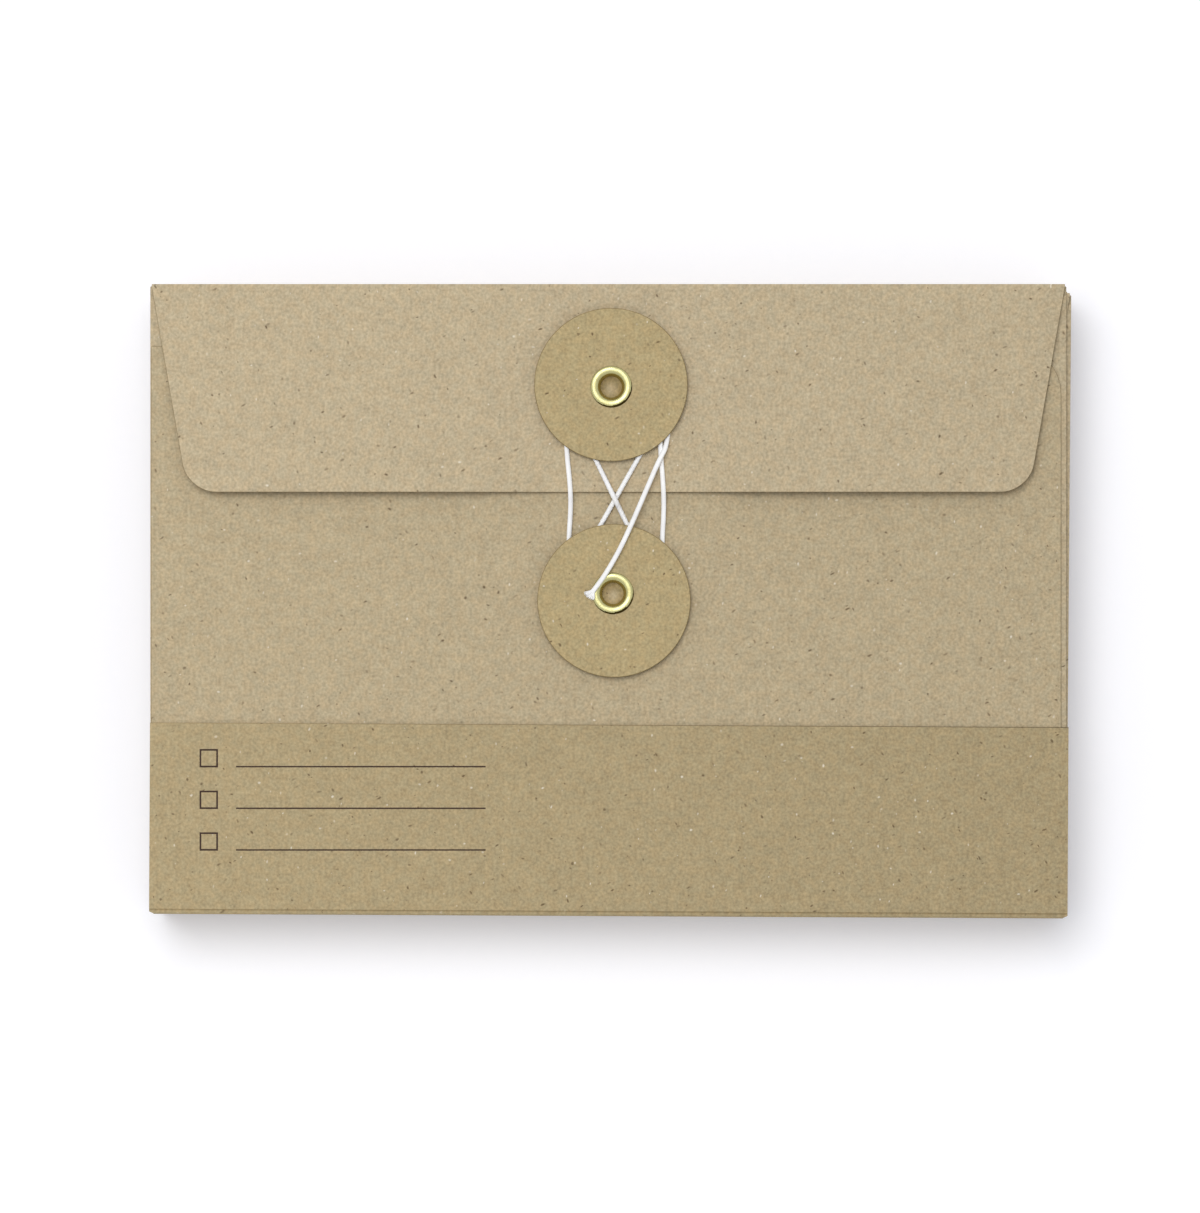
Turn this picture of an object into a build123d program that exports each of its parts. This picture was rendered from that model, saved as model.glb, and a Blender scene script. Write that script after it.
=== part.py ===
"""Pack of eight string-tie envelopes held by one folded paper band.

The pack lies on its back: X runs along the flap fold, Y towards it, Z up towards the reader.
Each envelope is made in its own frame, centred on its outline with the back sheet's outer face
at zero height, and is then laid in the pack at its own place and twist.
"""

import os
from math import atan2, ceil, cos, degrees, dist, radians, sin, sqrt, tan

from build123d import *

# Paper envelope
ENVELOPE_COUNT = 8
ENVELOPE_WIDTH = 176.0
ENVELOPE_HEIGHT = 119.5
PAPER = 0.2
MOUTH_DEPTH = 12.0  # from the flap fold down to the front sheet's free edge
FRONT_INSET_LEFT = 0.2
FRONT_INSET_RIGHT = 1.05
SIDE_TAB_WIDTH = 14.0
BOTTOM_FOLD_DEPTH = 1.2
TAB_GAP = 0.5

# Flap and its crease
FLAP_DEPTH = 40.0
FLAP_INSET_TOP = 0.3
FLAP_INSET_BOTTOM = 7.3
FLAP_CORNER_RADIUS = 6.5
FLAP_LIFT = 0.2  # air between the front sheet and the closed flap
CREASE_CLEARANCE = 0.1

# Buttons: a board disc riveted by an eyelet, one on the flap and one on the front sheet
DISC_DIAMETER = 29.4
DISC_BOARD = 0.4
UPPER_BUTTON_DROP = 19.8  # from the flap fold
LOWER_BUTTON_DROP = 59.44
UPPER_BUTTON_X = 0.56
LOWER_BUTTON_X = 0.88
UPPER_DISC_SHIFT = (-0.06, 0.4)  # disc centre from its eyelet
LOWER_DISC_SHIFT = (0.2, -1.4)

# Eyelets
EYELET_BORE = 5.0
EYELET_WALL = 0.25
EYELET_LIP_DIAMETER = 7.7
EYELET_LIP_RISE = 0.2
EYELET_CLENCH_DIAMETER = 6.9
EYELET_CLENCH = 0.15
EYELET_FIT = 0.05
DISC_PLAY = 0.02

# String
STRING_DIAMETER = 0.9
STRING_FLOOR_GAP = 0.05
STRING_DISC_GAP = 0.1
STRING_LEAST_GAP = 0.4
WIND_UPPER_RADIUS = 7.1
WIND_LOWER_RADIUS = 7.7
WIND_STEP = 1.65
WIND_LAST_STEP = 2.75
WIND_CORNER_DEGREES = 60.0
KNOT_CLEARANCE = 0.15
CROSSING_RISE = 1.38
CROSSING_FLAT = 1.7
STEP_PAST_FLAP = 1.0  # how far a strand keeps its height past the flap's edge
HUMP_EASE = 0.5  # how far outside a turning disc's rim a hump starts
HALF_TURN = 180.0
KNOT_TURN = 270.0
NEIGHBOUR_DIAMETERS = 4  # points nearer than this along a string don't count as its gap
BEND_SHARE = 0.45
SAMPLE_STEP = 0.25

# Tail of the front envelope's string, from the upper disc's rim to the tip by the lower eyelet
FRONT_TAIL = [
    (11.75, 29.6, 1.5),
    (9.95, 25.6, 2.92),
    (8.35, 22.0, 2.92),
    (6.4, 17.6, 2.85),
    (4.45, 13.4, 2.8),
    (2.15, 8.8, 2.8),
    (-0.2, 5.0, 2.8),
    (-2.2, 2.0, 2.8),
    (-3.75, -0.4, 2.75),
]
SPARE_TAIL_LENGTH = 19.0  # past the lower eyelet

# How the envelopes lie in the pack: sideways, along and twist, front one first
PACK_GAP = 0.1
LAY = [
    (-0.5, 1.1, 0.0),
    (0.05, 0.15, -0.47),
    (0.0, 0.2, -0.25),
    (-0.1, 0.1, -0.1),
    (0.15, 0.25, -0.35),
    (-0.05, 0.15, -0.15),
    (0.1, 0.05, -0.3),
    (0.0, 0.2, -0.2),
]

# Band round the foot of the pack
BAND_SIDE_OVERHANG = 0.2  # past the envelope's edge, each side
BAND_PAPER = 0.25
BAND_FRONT_HEIGHT = 36.3
BAND_BACK_HEIGHT = 36.3
BAND_FOOT_ROOM = 0.85  # from the envelope's foot to the band's outer face
BAND_FOLD_RADIUS = 1.1
BAND_GAP = 0.05
BAND_TWIST = -0.29
BAND_SIDE_SHIFT = -0.2

OVERRUN = 1.0

# Heights in one envelope, from the back sheet's outer face
TAB_Z = PAPER
FRONT_Z = TAB_Z + PAPER
FRONT_TOP_Z = FRONT_Z + PAPER
FLAP_Z = FRONT_TOP_Z + FLAP_LIFT
FLAP_TOP_Z = FLAP_Z + PAPER
STRING_SLOT = STRING_FLOOR_GAP + STRING_DIAMETER + STRING_DISC_GAP
UPPER_STRING_Z = FLAP_TOP_Z + STRING_FLOOR_GAP + STRING_DIAMETER / 2
LOWER_STRING_Z = FRONT_TOP_Z + STRING_FLOOR_GAP + STRING_DIAMETER / 2
UPPER_DISC_Z = FLAP_TOP_Z + STRING_SLOT
LOWER_DISC_Z = FRONT_TOP_Z + STRING_SLOT
UPPER_LIP_Z = UPPER_DISC_Z + DISC_BOARD + DISC_PLAY
LOWER_LIP_Z = LOWER_DISC_Z + DISC_BOARD + DISC_PLAY
ENVELOPE_PITCH = UPPER_LIP_Z + EYELET_LIP_RISE + PACK_GAP
FIRST_ENVELOPE_Z = BAND_PAPER + BAND_GAP

# Plan places in one envelope
TOP_Y = ENVELOPE_HEIGHT / 2
CREASE_RADIUS = FLAP_TOP_Z / 2
CREASE_Y = TOP_Y - CREASE_RADIUS
FLAP_EDGE_Y = TOP_Y - FLAP_DEPTH
UPPER_BUTTON = (UPPER_BUTTON_X, TOP_Y - UPPER_BUTTON_DROP)
LOWER_BUTTON = (LOWER_BUTTON_X, TOP_Y - LOWER_BUTTON_DROP)
EYELET_RADIUS = EYELET_BORE / 2 + EYELET_WALL
RIVET_HOLE_RADIUS = EYELET_RADIUS + EYELET_FIT
BAND_WIDTH = ENVELOPE_WIDTH + 2 * BAND_SIDE_OVERHANG
BAND_FOOT = -TOP_Y - BAND_FOOT_ROOM


def box(x_low, x_high, y_low, y_high, z_low, thickness):
    """A flat sheet between two corners."""
    sheet = Rectangle(x_high - x_low, y_high - y_low, align=Align.MIN)
    return Pos(x_low, y_low, z_low) * extrude(sheet, thickness)


def rivet_hole(button, z_low, thickness):
    """The cutter for an eyelet's barrel through one sheet."""
    depth = thickness + 2 * OVERRUN
    return Pos(*button, z_low - OVERRUN) * extrude(Circle(RIVET_HOLE_RADIUS), depth)


def back_sheet():
    """The back of the pocket, which stops short of the crease that turns past it."""
    inner_drop = CREASE_RADIUS - PAPER
    swing_room = sqrt(CREASE_RADIUS**2 - inner_drop**2) + CREASE_CLEARANCE
    half = ENVELOPE_WIDTH / 2
    return box(-half, half, -TOP_Y, CREASE_Y - swing_room, 0, PAPER)


def front_sheet():
    """The front of the pocket, a little narrower than the back, pierced for the lower eyelet."""
    left = -ENVELOPE_WIDTH / 2 + FRONT_INSET_LEFT
    right = ENVELOPE_WIDTH / 2 - FRONT_INSET_RIGHT
    sheet = box(left, right, -TOP_Y, TOP_Y - MOUTH_DEPTH, FRONT_Z, PAPER)
    return sheet - rivet_hole(LOWER_BUTTON, FRONT_Z, PAPER)


def fold_tabs():
    """The two glued side tabs and the turned bottom fold, between the back and the front."""
    half = ENVELOPE_WIDTH / 2
    fold_top = -TOP_Y + BOTTOM_FOLD_DEPTH
    tab_low = fold_top + TAB_GAP
    tab_high = TOP_Y - MOUTH_DEPTH
    inner = half - SIDE_TAB_WIDTH
    left = box(-half, -inner, tab_low, tab_high, TAB_Z, PAPER)
    right = box(inner, half, tab_low, tab_high, TAB_Z, PAPER)
    bottom = box(-half, half, -TOP_Y, fold_top, TAB_Z, PAPER)
    return [left, right, bottom]


def flap():
    """The flap with rounded corners, and the round crease that it hangs from, face to face."""
    top = ENVELOPE_WIDTH / 2 - FLAP_INSET_TOP
    bottom = ENVELOPE_WIDTH / 2 - FLAP_INSET_BOTTOM
    corners = [(-top, CREASE_Y), (top, CREASE_Y), (bottom, FLAP_EDGE_Y), (-bottom, FLAP_EDGE_Y)]
    outline = make_face(Polyline(*corners, close=True))
    outline = fillet(outline.vertices().sort_by(Axis.Y)[:2], FLAP_CORNER_RADIUS)
    sheet = Pos(0, 0, FLAP_Z) * extrude(outline, PAPER)
    sheet -= rivet_hole(UPPER_BUTTON, FLAP_Z, PAPER)
    ring = Circle(CREASE_RADIUS) - Circle(CREASE_RADIUS - PAPER)
    ring -= Pos(-CREASE_RADIUS, 0) * Rectangle(2 * CREASE_RADIUS, 2 * CREASE_RADIUS + PAPER)
    roll = extrude(Plane.YZ * ring, top, both=True)
    return [sheet, Pos(0, CREASE_Y, CREASE_RADIUS) * roll]


def disc(button, shift, z_low):
    """A board disc with its hole over the eyelet, which need not be its centre."""
    centre = (button[0] + shift[0], button[1] + shift[1])
    board = Pos(*centre, z_low) * extrude(Circle(DISC_DIAMETER / 2), DISC_BOARD)
    return board - rivet_hole(button, z_low, DISC_BOARD)


def eyelet(button, sheet_z, lip_z):
    """A tube with a domed lip over the disc and a flat clench under the paper."""
    bore = EYELET_BORE / 2
    lip = EYELET_LIP_DIAMETER / 2
    clench = EYELET_CLENCH_DIAMETER / 2
    low = sheet_z - EYELET_CLENCH
    crest = ((bore + lip) / 2, lip_z + EYELET_LIP_RISE)
    side = [(bore, lip_z), (bore, low), (clench, low), (clench, sheet_z)]
    side += [(EYELET_RADIUS, sheet_z), (EYELET_RADIUS, lip_z), (lip, lip_z)]
    outline = Polyline(*side) + ThreePointArc((lip, lip_z), crest, (bore, lip_z))
    ring = revolve(Plane.XZ * make_face(outline), Axis.Z)
    return Pos(*button, 0) * ring


def turns(button, start, sweep, first_radius, last_radius, z):
    """Corners of the many-sided path that a wound string follows round a button."""
    count = ceil(abs(sweep) / WIND_CORNER_DEGREES)
    step = sweep / count
    corners = []
    for index in range(count):
        share = (index + 0.5) / count
        radius = first_radius + (last_radius - first_radius) * share
        reach = radius / cos(radians(step / 2))
        angle = radians(start + step * (index + 0.5))
        corners.append((button[0] + reach * cos(angle), button[1] + reach * sin(angle), z))
    return corners


def between(start, end, share, z):
    """A point part of the way along a strand, at its own height."""
    x = start[0] + (end[0] - start[0]) * share
    y = start[1] + (end[1] - start[1]) * share
    return (x, y, z)


def rim_share(start, end, button, reach):
    """How far along a strand from start it comes out from under a turning disc round button."""
    run = (end[0] - start[0], end[1] - start[1])
    out = (start[0] - button[0], start[1] - button[1])
    a = run[0] ** 2 + run[1] ** 2
    b = out[0] * run[0] + out[1] * run[1]
    c = out[0] ** 2 + out[1] ** 2 - reach**2
    return (sqrt(b * b - a * c) - b) / a


def swept_radius(shift):
    """How far a disc's rim reaches from its eyelet as it turns."""
    return DISC_DIAMETER / 2 + sqrt(shift[0] ** 2 + shift[1] ** 2)


def strand(start, end):
    """Two points that step a strand from the flap to the pocket, past the flap's edge."""
    from_upper = start[2] > end[2]
    near, far = (start, end) if from_upper else (end, start)
    high = (near[1] - FLAP_EDGE_Y + STEP_PAST_FLAP) / (near[1] - far[1])
    low = rim_share(far, near, LOWER_BUTTON, swept_radius(LOWER_DISC_SHIFT))
    points = [between(near, far, high, UPPER_STRING_Z), between(far, near, low, LOWER_STRING_Z)]
    return points if from_upper else points[::-1]


def hump(start, end):
    """Four points that take the strand from the lower button to the upper one over another strand."""
    length = dist(start[:2], end[:2])
    ease = HUMP_EASE / length
    low = rim_share(start, end, LOWER_BUTTON, swept_radius(LOWER_DISC_SHIFT)) + ease
    high = 1 - rim_share(end, start, UPPER_BUTTON, swept_radius(UPPER_DISC_SHIFT)) - ease
    top = (low + high) / 2
    flat = CROSSING_FLAT / length / 2
    crest = UPPER_STRING_Z + CROSSING_RISE
    return [
        between(start, end, low, LOWER_STRING_Z),
        between(start, end, top - flat, crest),
        between(start, end, top + flat, crest),
        between(start, end, high, UPPER_STRING_Z),
    ]


def knot():
    """The turn round the upper eyelet that ties the string on, opening out to the first strand."""
    tight = EYELET_RADIUS + STRING_DIAMETER / 2 + KNOT_CLEARANCE
    return turns(UPPER_BUTTON, KNOT_TURN, -KNOT_TURN, tight, WIND_UPPER_RADIUS, UPPER_STRING_Z)


def front_route():
    """A figure of eight, one plain turn round both buttons, and a loose tail."""
    spread = dist(UPPER_BUTTON, LOWER_BUTTON)
    lean = degrees(atan2(WIND_UPPER_RADIUS + WIND_LOWER_RADIUS, spread))
    upper, upper_next = WIND_UPPER_RADIUS, WIND_UPPER_RADIUS + WIND_STEP
    lower, lower_next = WIND_LOWER_RADIUS, WIND_LOWER_RADIUS + WIND_STEP
    start = knot() + turns(UPPER_BUTTON, 0, -lean, upper, upper, UPPER_STRING_Z)
    eight = turns(LOWER_BUTTON, HALF_TURN - lean, HALF_TURN + 2 * lean, lower, lower, LOWER_STRING_Z)
    over = turns(UPPER_BUTTON, HALF_TURN + lean, -HALF_TURN - lean, upper, upper_next, UPPER_STRING_Z)
    under = turns(LOWER_BUTTON, 0, -HALF_TURN, lower_next, lower_next, LOWER_STRING_Z)
    last = upper_next + WIND_LAST_STEP
    round_top = turns(UPPER_BUTTON, HALF_TURN, -HALF_TURN, upper_next, last, UPPER_STRING_Z)
    route = start + strand(start[-1], eight[0]) + eight + hump(eight[-1], over[0]) + over
    route += strand(over[-1], under[0]) + under + strand(under[-1], round_top[0])
    return route + round_top + FRONT_TAIL


def spare_route():
    """One plain turn round both buttons, with the tail laid beside the lower one."""
    upper, lower = WIND_UPPER_RADIUS, WIND_LOWER_RADIUS
    start = knot()
    under = turns(LOWER_BUTTON, 0, -HALF_TURN, lower, lower, LOWER_STRING_Z)
    over = turns(UPPER_BUTTON, HALF_TURN, -HALF_TURN, upper, upper + WIND_STEP, UPPER_STRING_Z)
    tip_x = LOWER_BUTTON[0] + WIND_LOWER_RADIUS + WIND_STEP
    tip = (tip_x, LOWER_BUTTON[1] - SPARE_TAIL_LENGTH, LOWER_STRING_Z)
    route = start + strand(start[-1], under[0]) + under + strand(under[-1], over[0])
    return route + over + strand(over[-1], tip) + [tip]


def bend_radii(route):
    """The largest arc that the runs beside each corner leave room for."""
    radii = []
    for before, at, after in zip(route, route[1:], route[2:]):
        turn = (Vector(*at) - Vector(*before)).get_angle(Vector(*after) - Vector(*at))
        shorter = min(dist(before, at), dist(at, after))
        radii.append(BEND_SHARE * shorter / tan(radians(turn / 2)))
    return radii


def least_gap(path):
    """The narrowest air between two turns of a string, measured on points along it."""
    count = ceil(path.length / SAMPLE_STEP)
    points = [tuple(path.position_at(index / count)) for index in range(count + 1)]
    apart = ceil(NEIGHBOUR_DIAMETERS * STRING_DIAMETER / SAMPLE_STEP)
    nearest = path.length
    for index, point in enumerate(points):
        for other in points[index + apart :]:
            nearest = min(nearest, dist(point, other))
    return nearest - STRING_DIAMETER


def string(name, route):
    """One unbroken string swept along its route, with its bends, length and gap printed."""
    radii = bend_radii(route)
    path = Wire(FilletPolyline(*route, radius=radii).edges())
    section = Plane(origin=path @ 0, z_dir=path % 0) * Circle(STRING_DIAMETER / 2)
    tube = sweep(section, path)
    expected = section.area * path.length
    print(name, "least bend radius", round(min(radii), 2), "length", round(path.length, 1))
    print(name, "volume over section times length", round(tube.volume / expected, 4))
    gap = least_gap(path)
    print(name, "least gap to itself", round(gap, 2), "wanted over", STRING_LEAST_GAP)
    return tube


def band():
    """The paper folded round the pack's foot, its front lying on the front envelope."""
    front_z = FIRST_ENVELOPE_Z + (ENVELOPE_COUNT - 1) * ENVELOPE_PITCH + FRONT_TOP_Z + BAND_GAP
    top_z = front_z + BAND_PAPER
    front_y = BAND_FOOT + BAND_FRONT_HEIGHT
    back_y = BAND_FOOT + BAND_BACK_HEIGHT
    reach = max(front_y, back_y)
    sleeve = Pos(BAND_FOOT, 0) * Rectangle(reach - BAND_FOOT, top_z, align=Align.MIN)
    sleeve = fillet(sleeve.vertices().sort_by(Axis.X)[:2], BAND_FOLD_RADIUS)
    inside = Pos(BAND_FOOT + BAND_PAPER, BAND_PAPER)
    inner = inside * Rectangle(reach - BAND_FOOT, front_z - BAND_PAPER, align=Align.MIN)
    inner = fillet(inner.vertices().sort_by(Axis.X)[:2], BAND_FOLD_RADIUS - BAND_PAPER)
    profile = sleeve - inner
    if front_y < reach:
        profile -= Pos(front_y, front_z) * Rectangle(reach, BAND_PAPER + OVERRUN, align=Align.MIN)
    if back_y < reach:
        profile -= Pos(back_y, 0) * Rectangle(reach, BAND_PAPER, align=Align.MIN)
    folded = extrude(Plane.YZ * profile, BAND_WIDTH / 2, both=True)
    return Pos(BAND_SIDE_SHIFT, 0, 0) * Rot(0, 0, BAND_TWIST) * folded


def save(name, *solids):
    """Write one node, with each of its solids apart."""
    pieces = [solid for piece in solids for solid in piece.solids()]
    export_step(pieces[0] if len(pieces) == 1 else Compound(children=pieces), f"parts/{name}.step")


def main():
    """Build the pack and write every node."""
    os.makedirs("parts", exist_ok=True)
    upper_disc = disc(UPPER_BUTTON, UPPER_DISC_SHIFT, UPPER_DISC_Z)
    lower_disc = disc(LOWER_BUTTON, LOWER_DISC_SHIFT, LOWER_DISC_Z)
    upper_eyelet = eyelet(UPPER_BUTTON, FLAP_Z, UPPER_LIP_Z)
    lower_eyelet = eyelet(LOWER_BUTTON, FRONT_Z, LOWER_LIP_Z)
    front_string = string("front string", front_route())
    spare_string = string("spare string", spare_route())
    sheets = {"back_sheet": [back_sheet()], "front_sheet": [front_sheet()]}
    sheets |= {"fold_tabs": fold_tabs(), "flap": flap()}
    save("band", band())
    for number in range(1, ENVELOPE_COUNT + 1):
        shift_x, shift_y, twist = LAY[(number - 1) % len(LAY)]
        level = FIRST_ENVELOPE_Z + (ENVELOPE_COUNT - number) * ENVELOPE_PITCH
        place = Pos(shift_x, shift_y, level) * Rot(0, 0, twist)
        nodes = dict(sheets)
        if number == 1:
            nodes |= {"upper_disc": [upper_disc], "lower_disc": [lower_disc]}
            nodes |= {"upper_eyelet": [upper_eyelet], "lower_eyelet": [lower_eyelet]}
            nodes["string"] = [front_string]
        else:
            nodes |= {"discs": [upper_disc, lower_disc], "eyelets": [upper_eyelet, lower_eyelet]}
            nodes["string"] = [spare_string]
        for name, solids in nodes.items():
            save(f"{name}_{number}", *[place * solid for solid in solids])


if __name__ == "__main__":
    main()
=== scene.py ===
# %% [markdown]
# # A pack of string tie envelopes
#
# Eight kraft envelopes lie flat, one on another, and a folded paper band holds them at the foot. Each
# envelope has a flap, two board discs on brass eyelets, and a cotton string that is wound round both
# discs. The imported model is loaded first. It is the fixed frame: it gives the place and size of every
# piece, and each piece that is made here, except the front envelope's back and flap, moves with one of
# its bodies.

import math
import random

import bmesh
import bpy
from mathutils import Matrix, Vector


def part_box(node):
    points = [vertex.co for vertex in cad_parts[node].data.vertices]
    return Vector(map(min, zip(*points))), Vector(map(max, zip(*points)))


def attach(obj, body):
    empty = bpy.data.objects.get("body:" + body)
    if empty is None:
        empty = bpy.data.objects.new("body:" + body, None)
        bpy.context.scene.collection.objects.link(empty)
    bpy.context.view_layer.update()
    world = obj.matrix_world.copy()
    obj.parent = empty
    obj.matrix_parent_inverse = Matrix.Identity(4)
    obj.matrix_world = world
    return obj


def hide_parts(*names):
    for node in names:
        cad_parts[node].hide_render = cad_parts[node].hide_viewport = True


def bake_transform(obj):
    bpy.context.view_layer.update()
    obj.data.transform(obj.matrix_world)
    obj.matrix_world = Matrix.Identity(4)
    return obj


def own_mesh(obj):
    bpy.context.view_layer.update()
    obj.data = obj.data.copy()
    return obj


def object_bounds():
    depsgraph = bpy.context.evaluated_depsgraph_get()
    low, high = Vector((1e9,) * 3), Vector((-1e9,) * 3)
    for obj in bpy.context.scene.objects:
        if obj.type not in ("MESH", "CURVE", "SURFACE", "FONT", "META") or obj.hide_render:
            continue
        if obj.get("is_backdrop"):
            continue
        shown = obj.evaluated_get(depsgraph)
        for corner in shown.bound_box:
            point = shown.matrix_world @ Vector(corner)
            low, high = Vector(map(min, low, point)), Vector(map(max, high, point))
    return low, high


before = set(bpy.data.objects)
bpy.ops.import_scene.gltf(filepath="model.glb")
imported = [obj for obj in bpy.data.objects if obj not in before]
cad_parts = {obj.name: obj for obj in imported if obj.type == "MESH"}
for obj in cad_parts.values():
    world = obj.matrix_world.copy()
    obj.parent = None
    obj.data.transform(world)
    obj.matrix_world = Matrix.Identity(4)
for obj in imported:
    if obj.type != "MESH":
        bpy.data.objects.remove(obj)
cad_low, cad_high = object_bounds()
scene = bpy.context.scene

# %% [markdown]
# ## Measure the front envelope
#
# An envelope is easiest to think of in millimetres from its own middle, so every piece is modelled
# there and is carried to its place in the pack by one matrix, which also turns millimetres into metres.
# The front envelope lies square to the pack, so the boxes of its nodes give all sizes that the others
# repeat.

# %% Measure the front envelope
MM = 0.001
ENVELOPE_COUNT = 8
# sideways, along and twist of each envelope in the pack, in millimetres and degrees, front one first
LAY = [
    (-0.5, 1.1, 0.0),
    (0.05, 0.15, -0.47),
    (0.0, 0.2, -0.25),
    (-0.1, 0.1, -0.1),
    (0.15, 0.25, -0.35),
    (-0.05, 0.15, -0.15),
    (0.1, 0.05, -0.3),
    (0.0, 0.2, -0.2),
]


def envelope_place(number):
    """The matrix from millimetres in one envelope's own frame to metres in the pack."""
    sideways, along, twist = LAY[number - 1]
    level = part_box(f"back_sheet_{number}")[0].z
    spot = Matrix.Translation((sideways * MM, along * MM, level))
    return spot @ Matrix.Rotation(math.radians(twist), 4, "Z") @ Matrix.Scale(MM, 4)


def span(node):
    """The low and high corners of one of the front envelope's nodes, in its own millimetres."""
    to_envelope = envelope_place(1).inverted()
    return [to_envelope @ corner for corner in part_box(node)]


def middle(node):
    """The middle of one of the front envelope's nodes, seen from above."""
    low, high = span(node)
    return Vector(((low.x + high.x) / 2, (low.y + high.y) / 2))


back, front, tabs, flap = [span(f"{name}_1") for name in ("back_sheet", "front_sheet", "fold_tabs", "flap")]
PAPER = back[1].z - back[0].z
UPPER_BUTTON = middle("upper_eyelet_1")
LOWER_BUTTON = middle("lower_eyelet_1")
FLAP_MID_Z = flap[1].z - PAPER / 2
CREASE_Z = flap[1].z / 2
CREASE_Y = flap[1].y - CREASE_Z
print("paper", round(PAPER, 3), "buttons", UPPER_BUTTON, LOWER_BUTTON, "crease", round(CREASE_Y, 3))

# %% [markdown]
# ## Camera
#
# The pack is seen straight from above, so the camera hangs over it and looks down with no turn at all.
# A long lens from over a metre away keeps the outline nearly square, as it is in the picture.

# %% Camera
PICTURE_SIZE = (1200, 1213)
VIEW_WIDTH = 0.2305
VIEW_CENTRE = (-0.0021, -0.0011)
CAMERA_DISTANCE = 1.3

camera = bpy.data.objects.new("camera", bpy.data.cameras.new("camera"))
scene.collection.objects.link(camera)
front_face_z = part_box("front_sheet_1")[1].z
camera.location = (*VIEW_CENTRE, front_face_z + CAMERA_DISTANCE)
view_height = VIEW_WIDTH * PICTURE_SIZE[1] / PICTURE_SIZE[0]
camera.data.lens = camera.data.sensor_width * CAMERA_DISTANCE / view_height
scene.camera = camera
print("lens", round(camera.data.lens, 1), "mm")

# %% [markdown]
# ## Light and floor
#
# One large soft lamp stands at the upper left, and the world fills the rest evenly, so paper renders
# about as its colour is written. The floor is mostly diffuse white and partly white to the eye alone.
# That keeps it white in the picture and leaves a pale, soft shadow to the right of the pack and below
# it.

# %% Light and floor
WORLD_STRENGTH = 0.55
LAMP_PLACE = (-0.34, 0.57, 2.0)
LAMP_SIZE = 1.15
LAMP_POWER = 24.0
FLOOR_SIZE = 12.0
FLOOR_WHITE = (0.975, 0.978, 1, 1)
FLOOR_SHADOW_SHARE = 0.93
FLOOR_GLOW = 2.44
GLOW_TINT = (0.86, 0.87, 1, 1)


def add(tree, kind, inputs=None, **settings):
    """Add one node, set it up, and feed its inputs with values or with other nodes' outputs."""
    made = tree.nodes.new("ShaderNode" + kind)
    for key, value in settings.items():
        setattr(made, key, value)
    for key, value in (inputs or {}).items():
        if isinstance(value, bpy.types.NodeSocket):
            tree.links.new(value, made.inputs[key])
        else:
            made.inputs[key].default_value = value
    return made


def blank_material(name):
    """A material with an empty node tree and its output node."""
    material = bpy.data.materials.new(name)
    material.use_nodes = True
    material.node_tree.nodes.clear()
    return material, material.node_tree, add(material.node_tree, "OutputMaterial")


def seen_by_eye(tree):
    """1 where a thing is looked at, straight or in metal, and 0 where it only sends light on."""
    rays = add(tree, "LightPath").outputs
    seen = add(tree, "Math", {0: rays["Is Camera Ray"], 1: rays["Is Glossy Ray"]}, operation="MAXIMUM")
    seen = add(tree, "Math", {0: seen.outputs[0], 1: rays["Is Transmission Ray"]}, operation="MAXIMUM")
    return seen.outputs[0]


scene.view_settings.view_transform = "Standard"
world = bpy.data.worlds.new("studio")
scene.world = world
world.use_nodes = True
world.node_tree.nodes.clear()
tree = world.node_tree
fill = add(tree, "Background", {"Color": (1, 1, 1, 1), "Strength": WORLD_STRENGTH})
white = add(tree, "Background", {"Color": (1, 1, 1, 1), "Strength": 1.0})
sky = add(tree, "MixShader", {0: seen_by_eye(tree), 1: fill.outputs[0], 2: white.outputs[0]})
add(tree, "OutputWorld", {"Surface": sky.outputs[0]})

lamp = bpy.data.objects.new("key_lamp", bpy.data.lights.new("key_lamp", "AREA"))
scene.collection.objects.link(lamp)
lamp.data.energy = LAMP_POWER
lamp.data.size = LAMP_SIZE
lamp.location = LAMP_PLACE
lamp.rotation_euler = Vector(LAMP_PLACE).to_track_quat("Z", "Y").to_euler()

floor_material, tree, output = blank_material("floor_white")
matt = add(tree, "BsdfDiffuse", {"Color": FLOOR_WHITE})
glow = add(tree, "Emission", {"Color": GLOW_TINT, "Strength": FLOOR_GLOW})
glow_share = add(tree, "Math", {0: seen_by_eye(tree), 1: 1 - FLOOR_SHADOW_SHARE}, operation="MULTIPLY")
matt_and_glow = {0: glow_share.outputs[0], 1: matt.outputs[0], 2: glow.outputs[0]}
tree.links.new(add(tree, "MixShader", matt_and_glow).outputs[0], output.inputs["Surface"])
floor_mesh = bpy.data.meshes.new("floor")
bm = bmesh.new()
bmesh.ops.create_grid(bm, x_segments=1, y_segments=1, size=FLOOR_SIZE / 2)
bm.to_mesh(floor_mesh)
bm.free()
floor = bpy.data.objects.new("floor", floor_mesh)
floor.location.z = cad_low.z
floor_mesh.materials.append(floor_material)
scene.collection.objects.link(floor)
floor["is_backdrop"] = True
print("lamp", LAMP_POWER, "W, world", WORLD_STRENGTH)

# %% [markdown]
# ## Tools for materials
#
# Every finish below adds, spreads and mixes values in a node tree. A few helpers keep each such step to
# one line, and an effect that several finishes share becomes a node group with named sockets.

# %% Tools for materials
def colour(red, green, blue):
    """A colour that is written as it looks on a screen, made linear for the shader."""
    channels = []
    for byte in (red, green, blue):
        value = byte / 255
        channels.append(value / 12.92 if value <= 0.04045 else ((value + 0.055) / 1.055) ** 2.4)
    return (*channels, 1)


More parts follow.
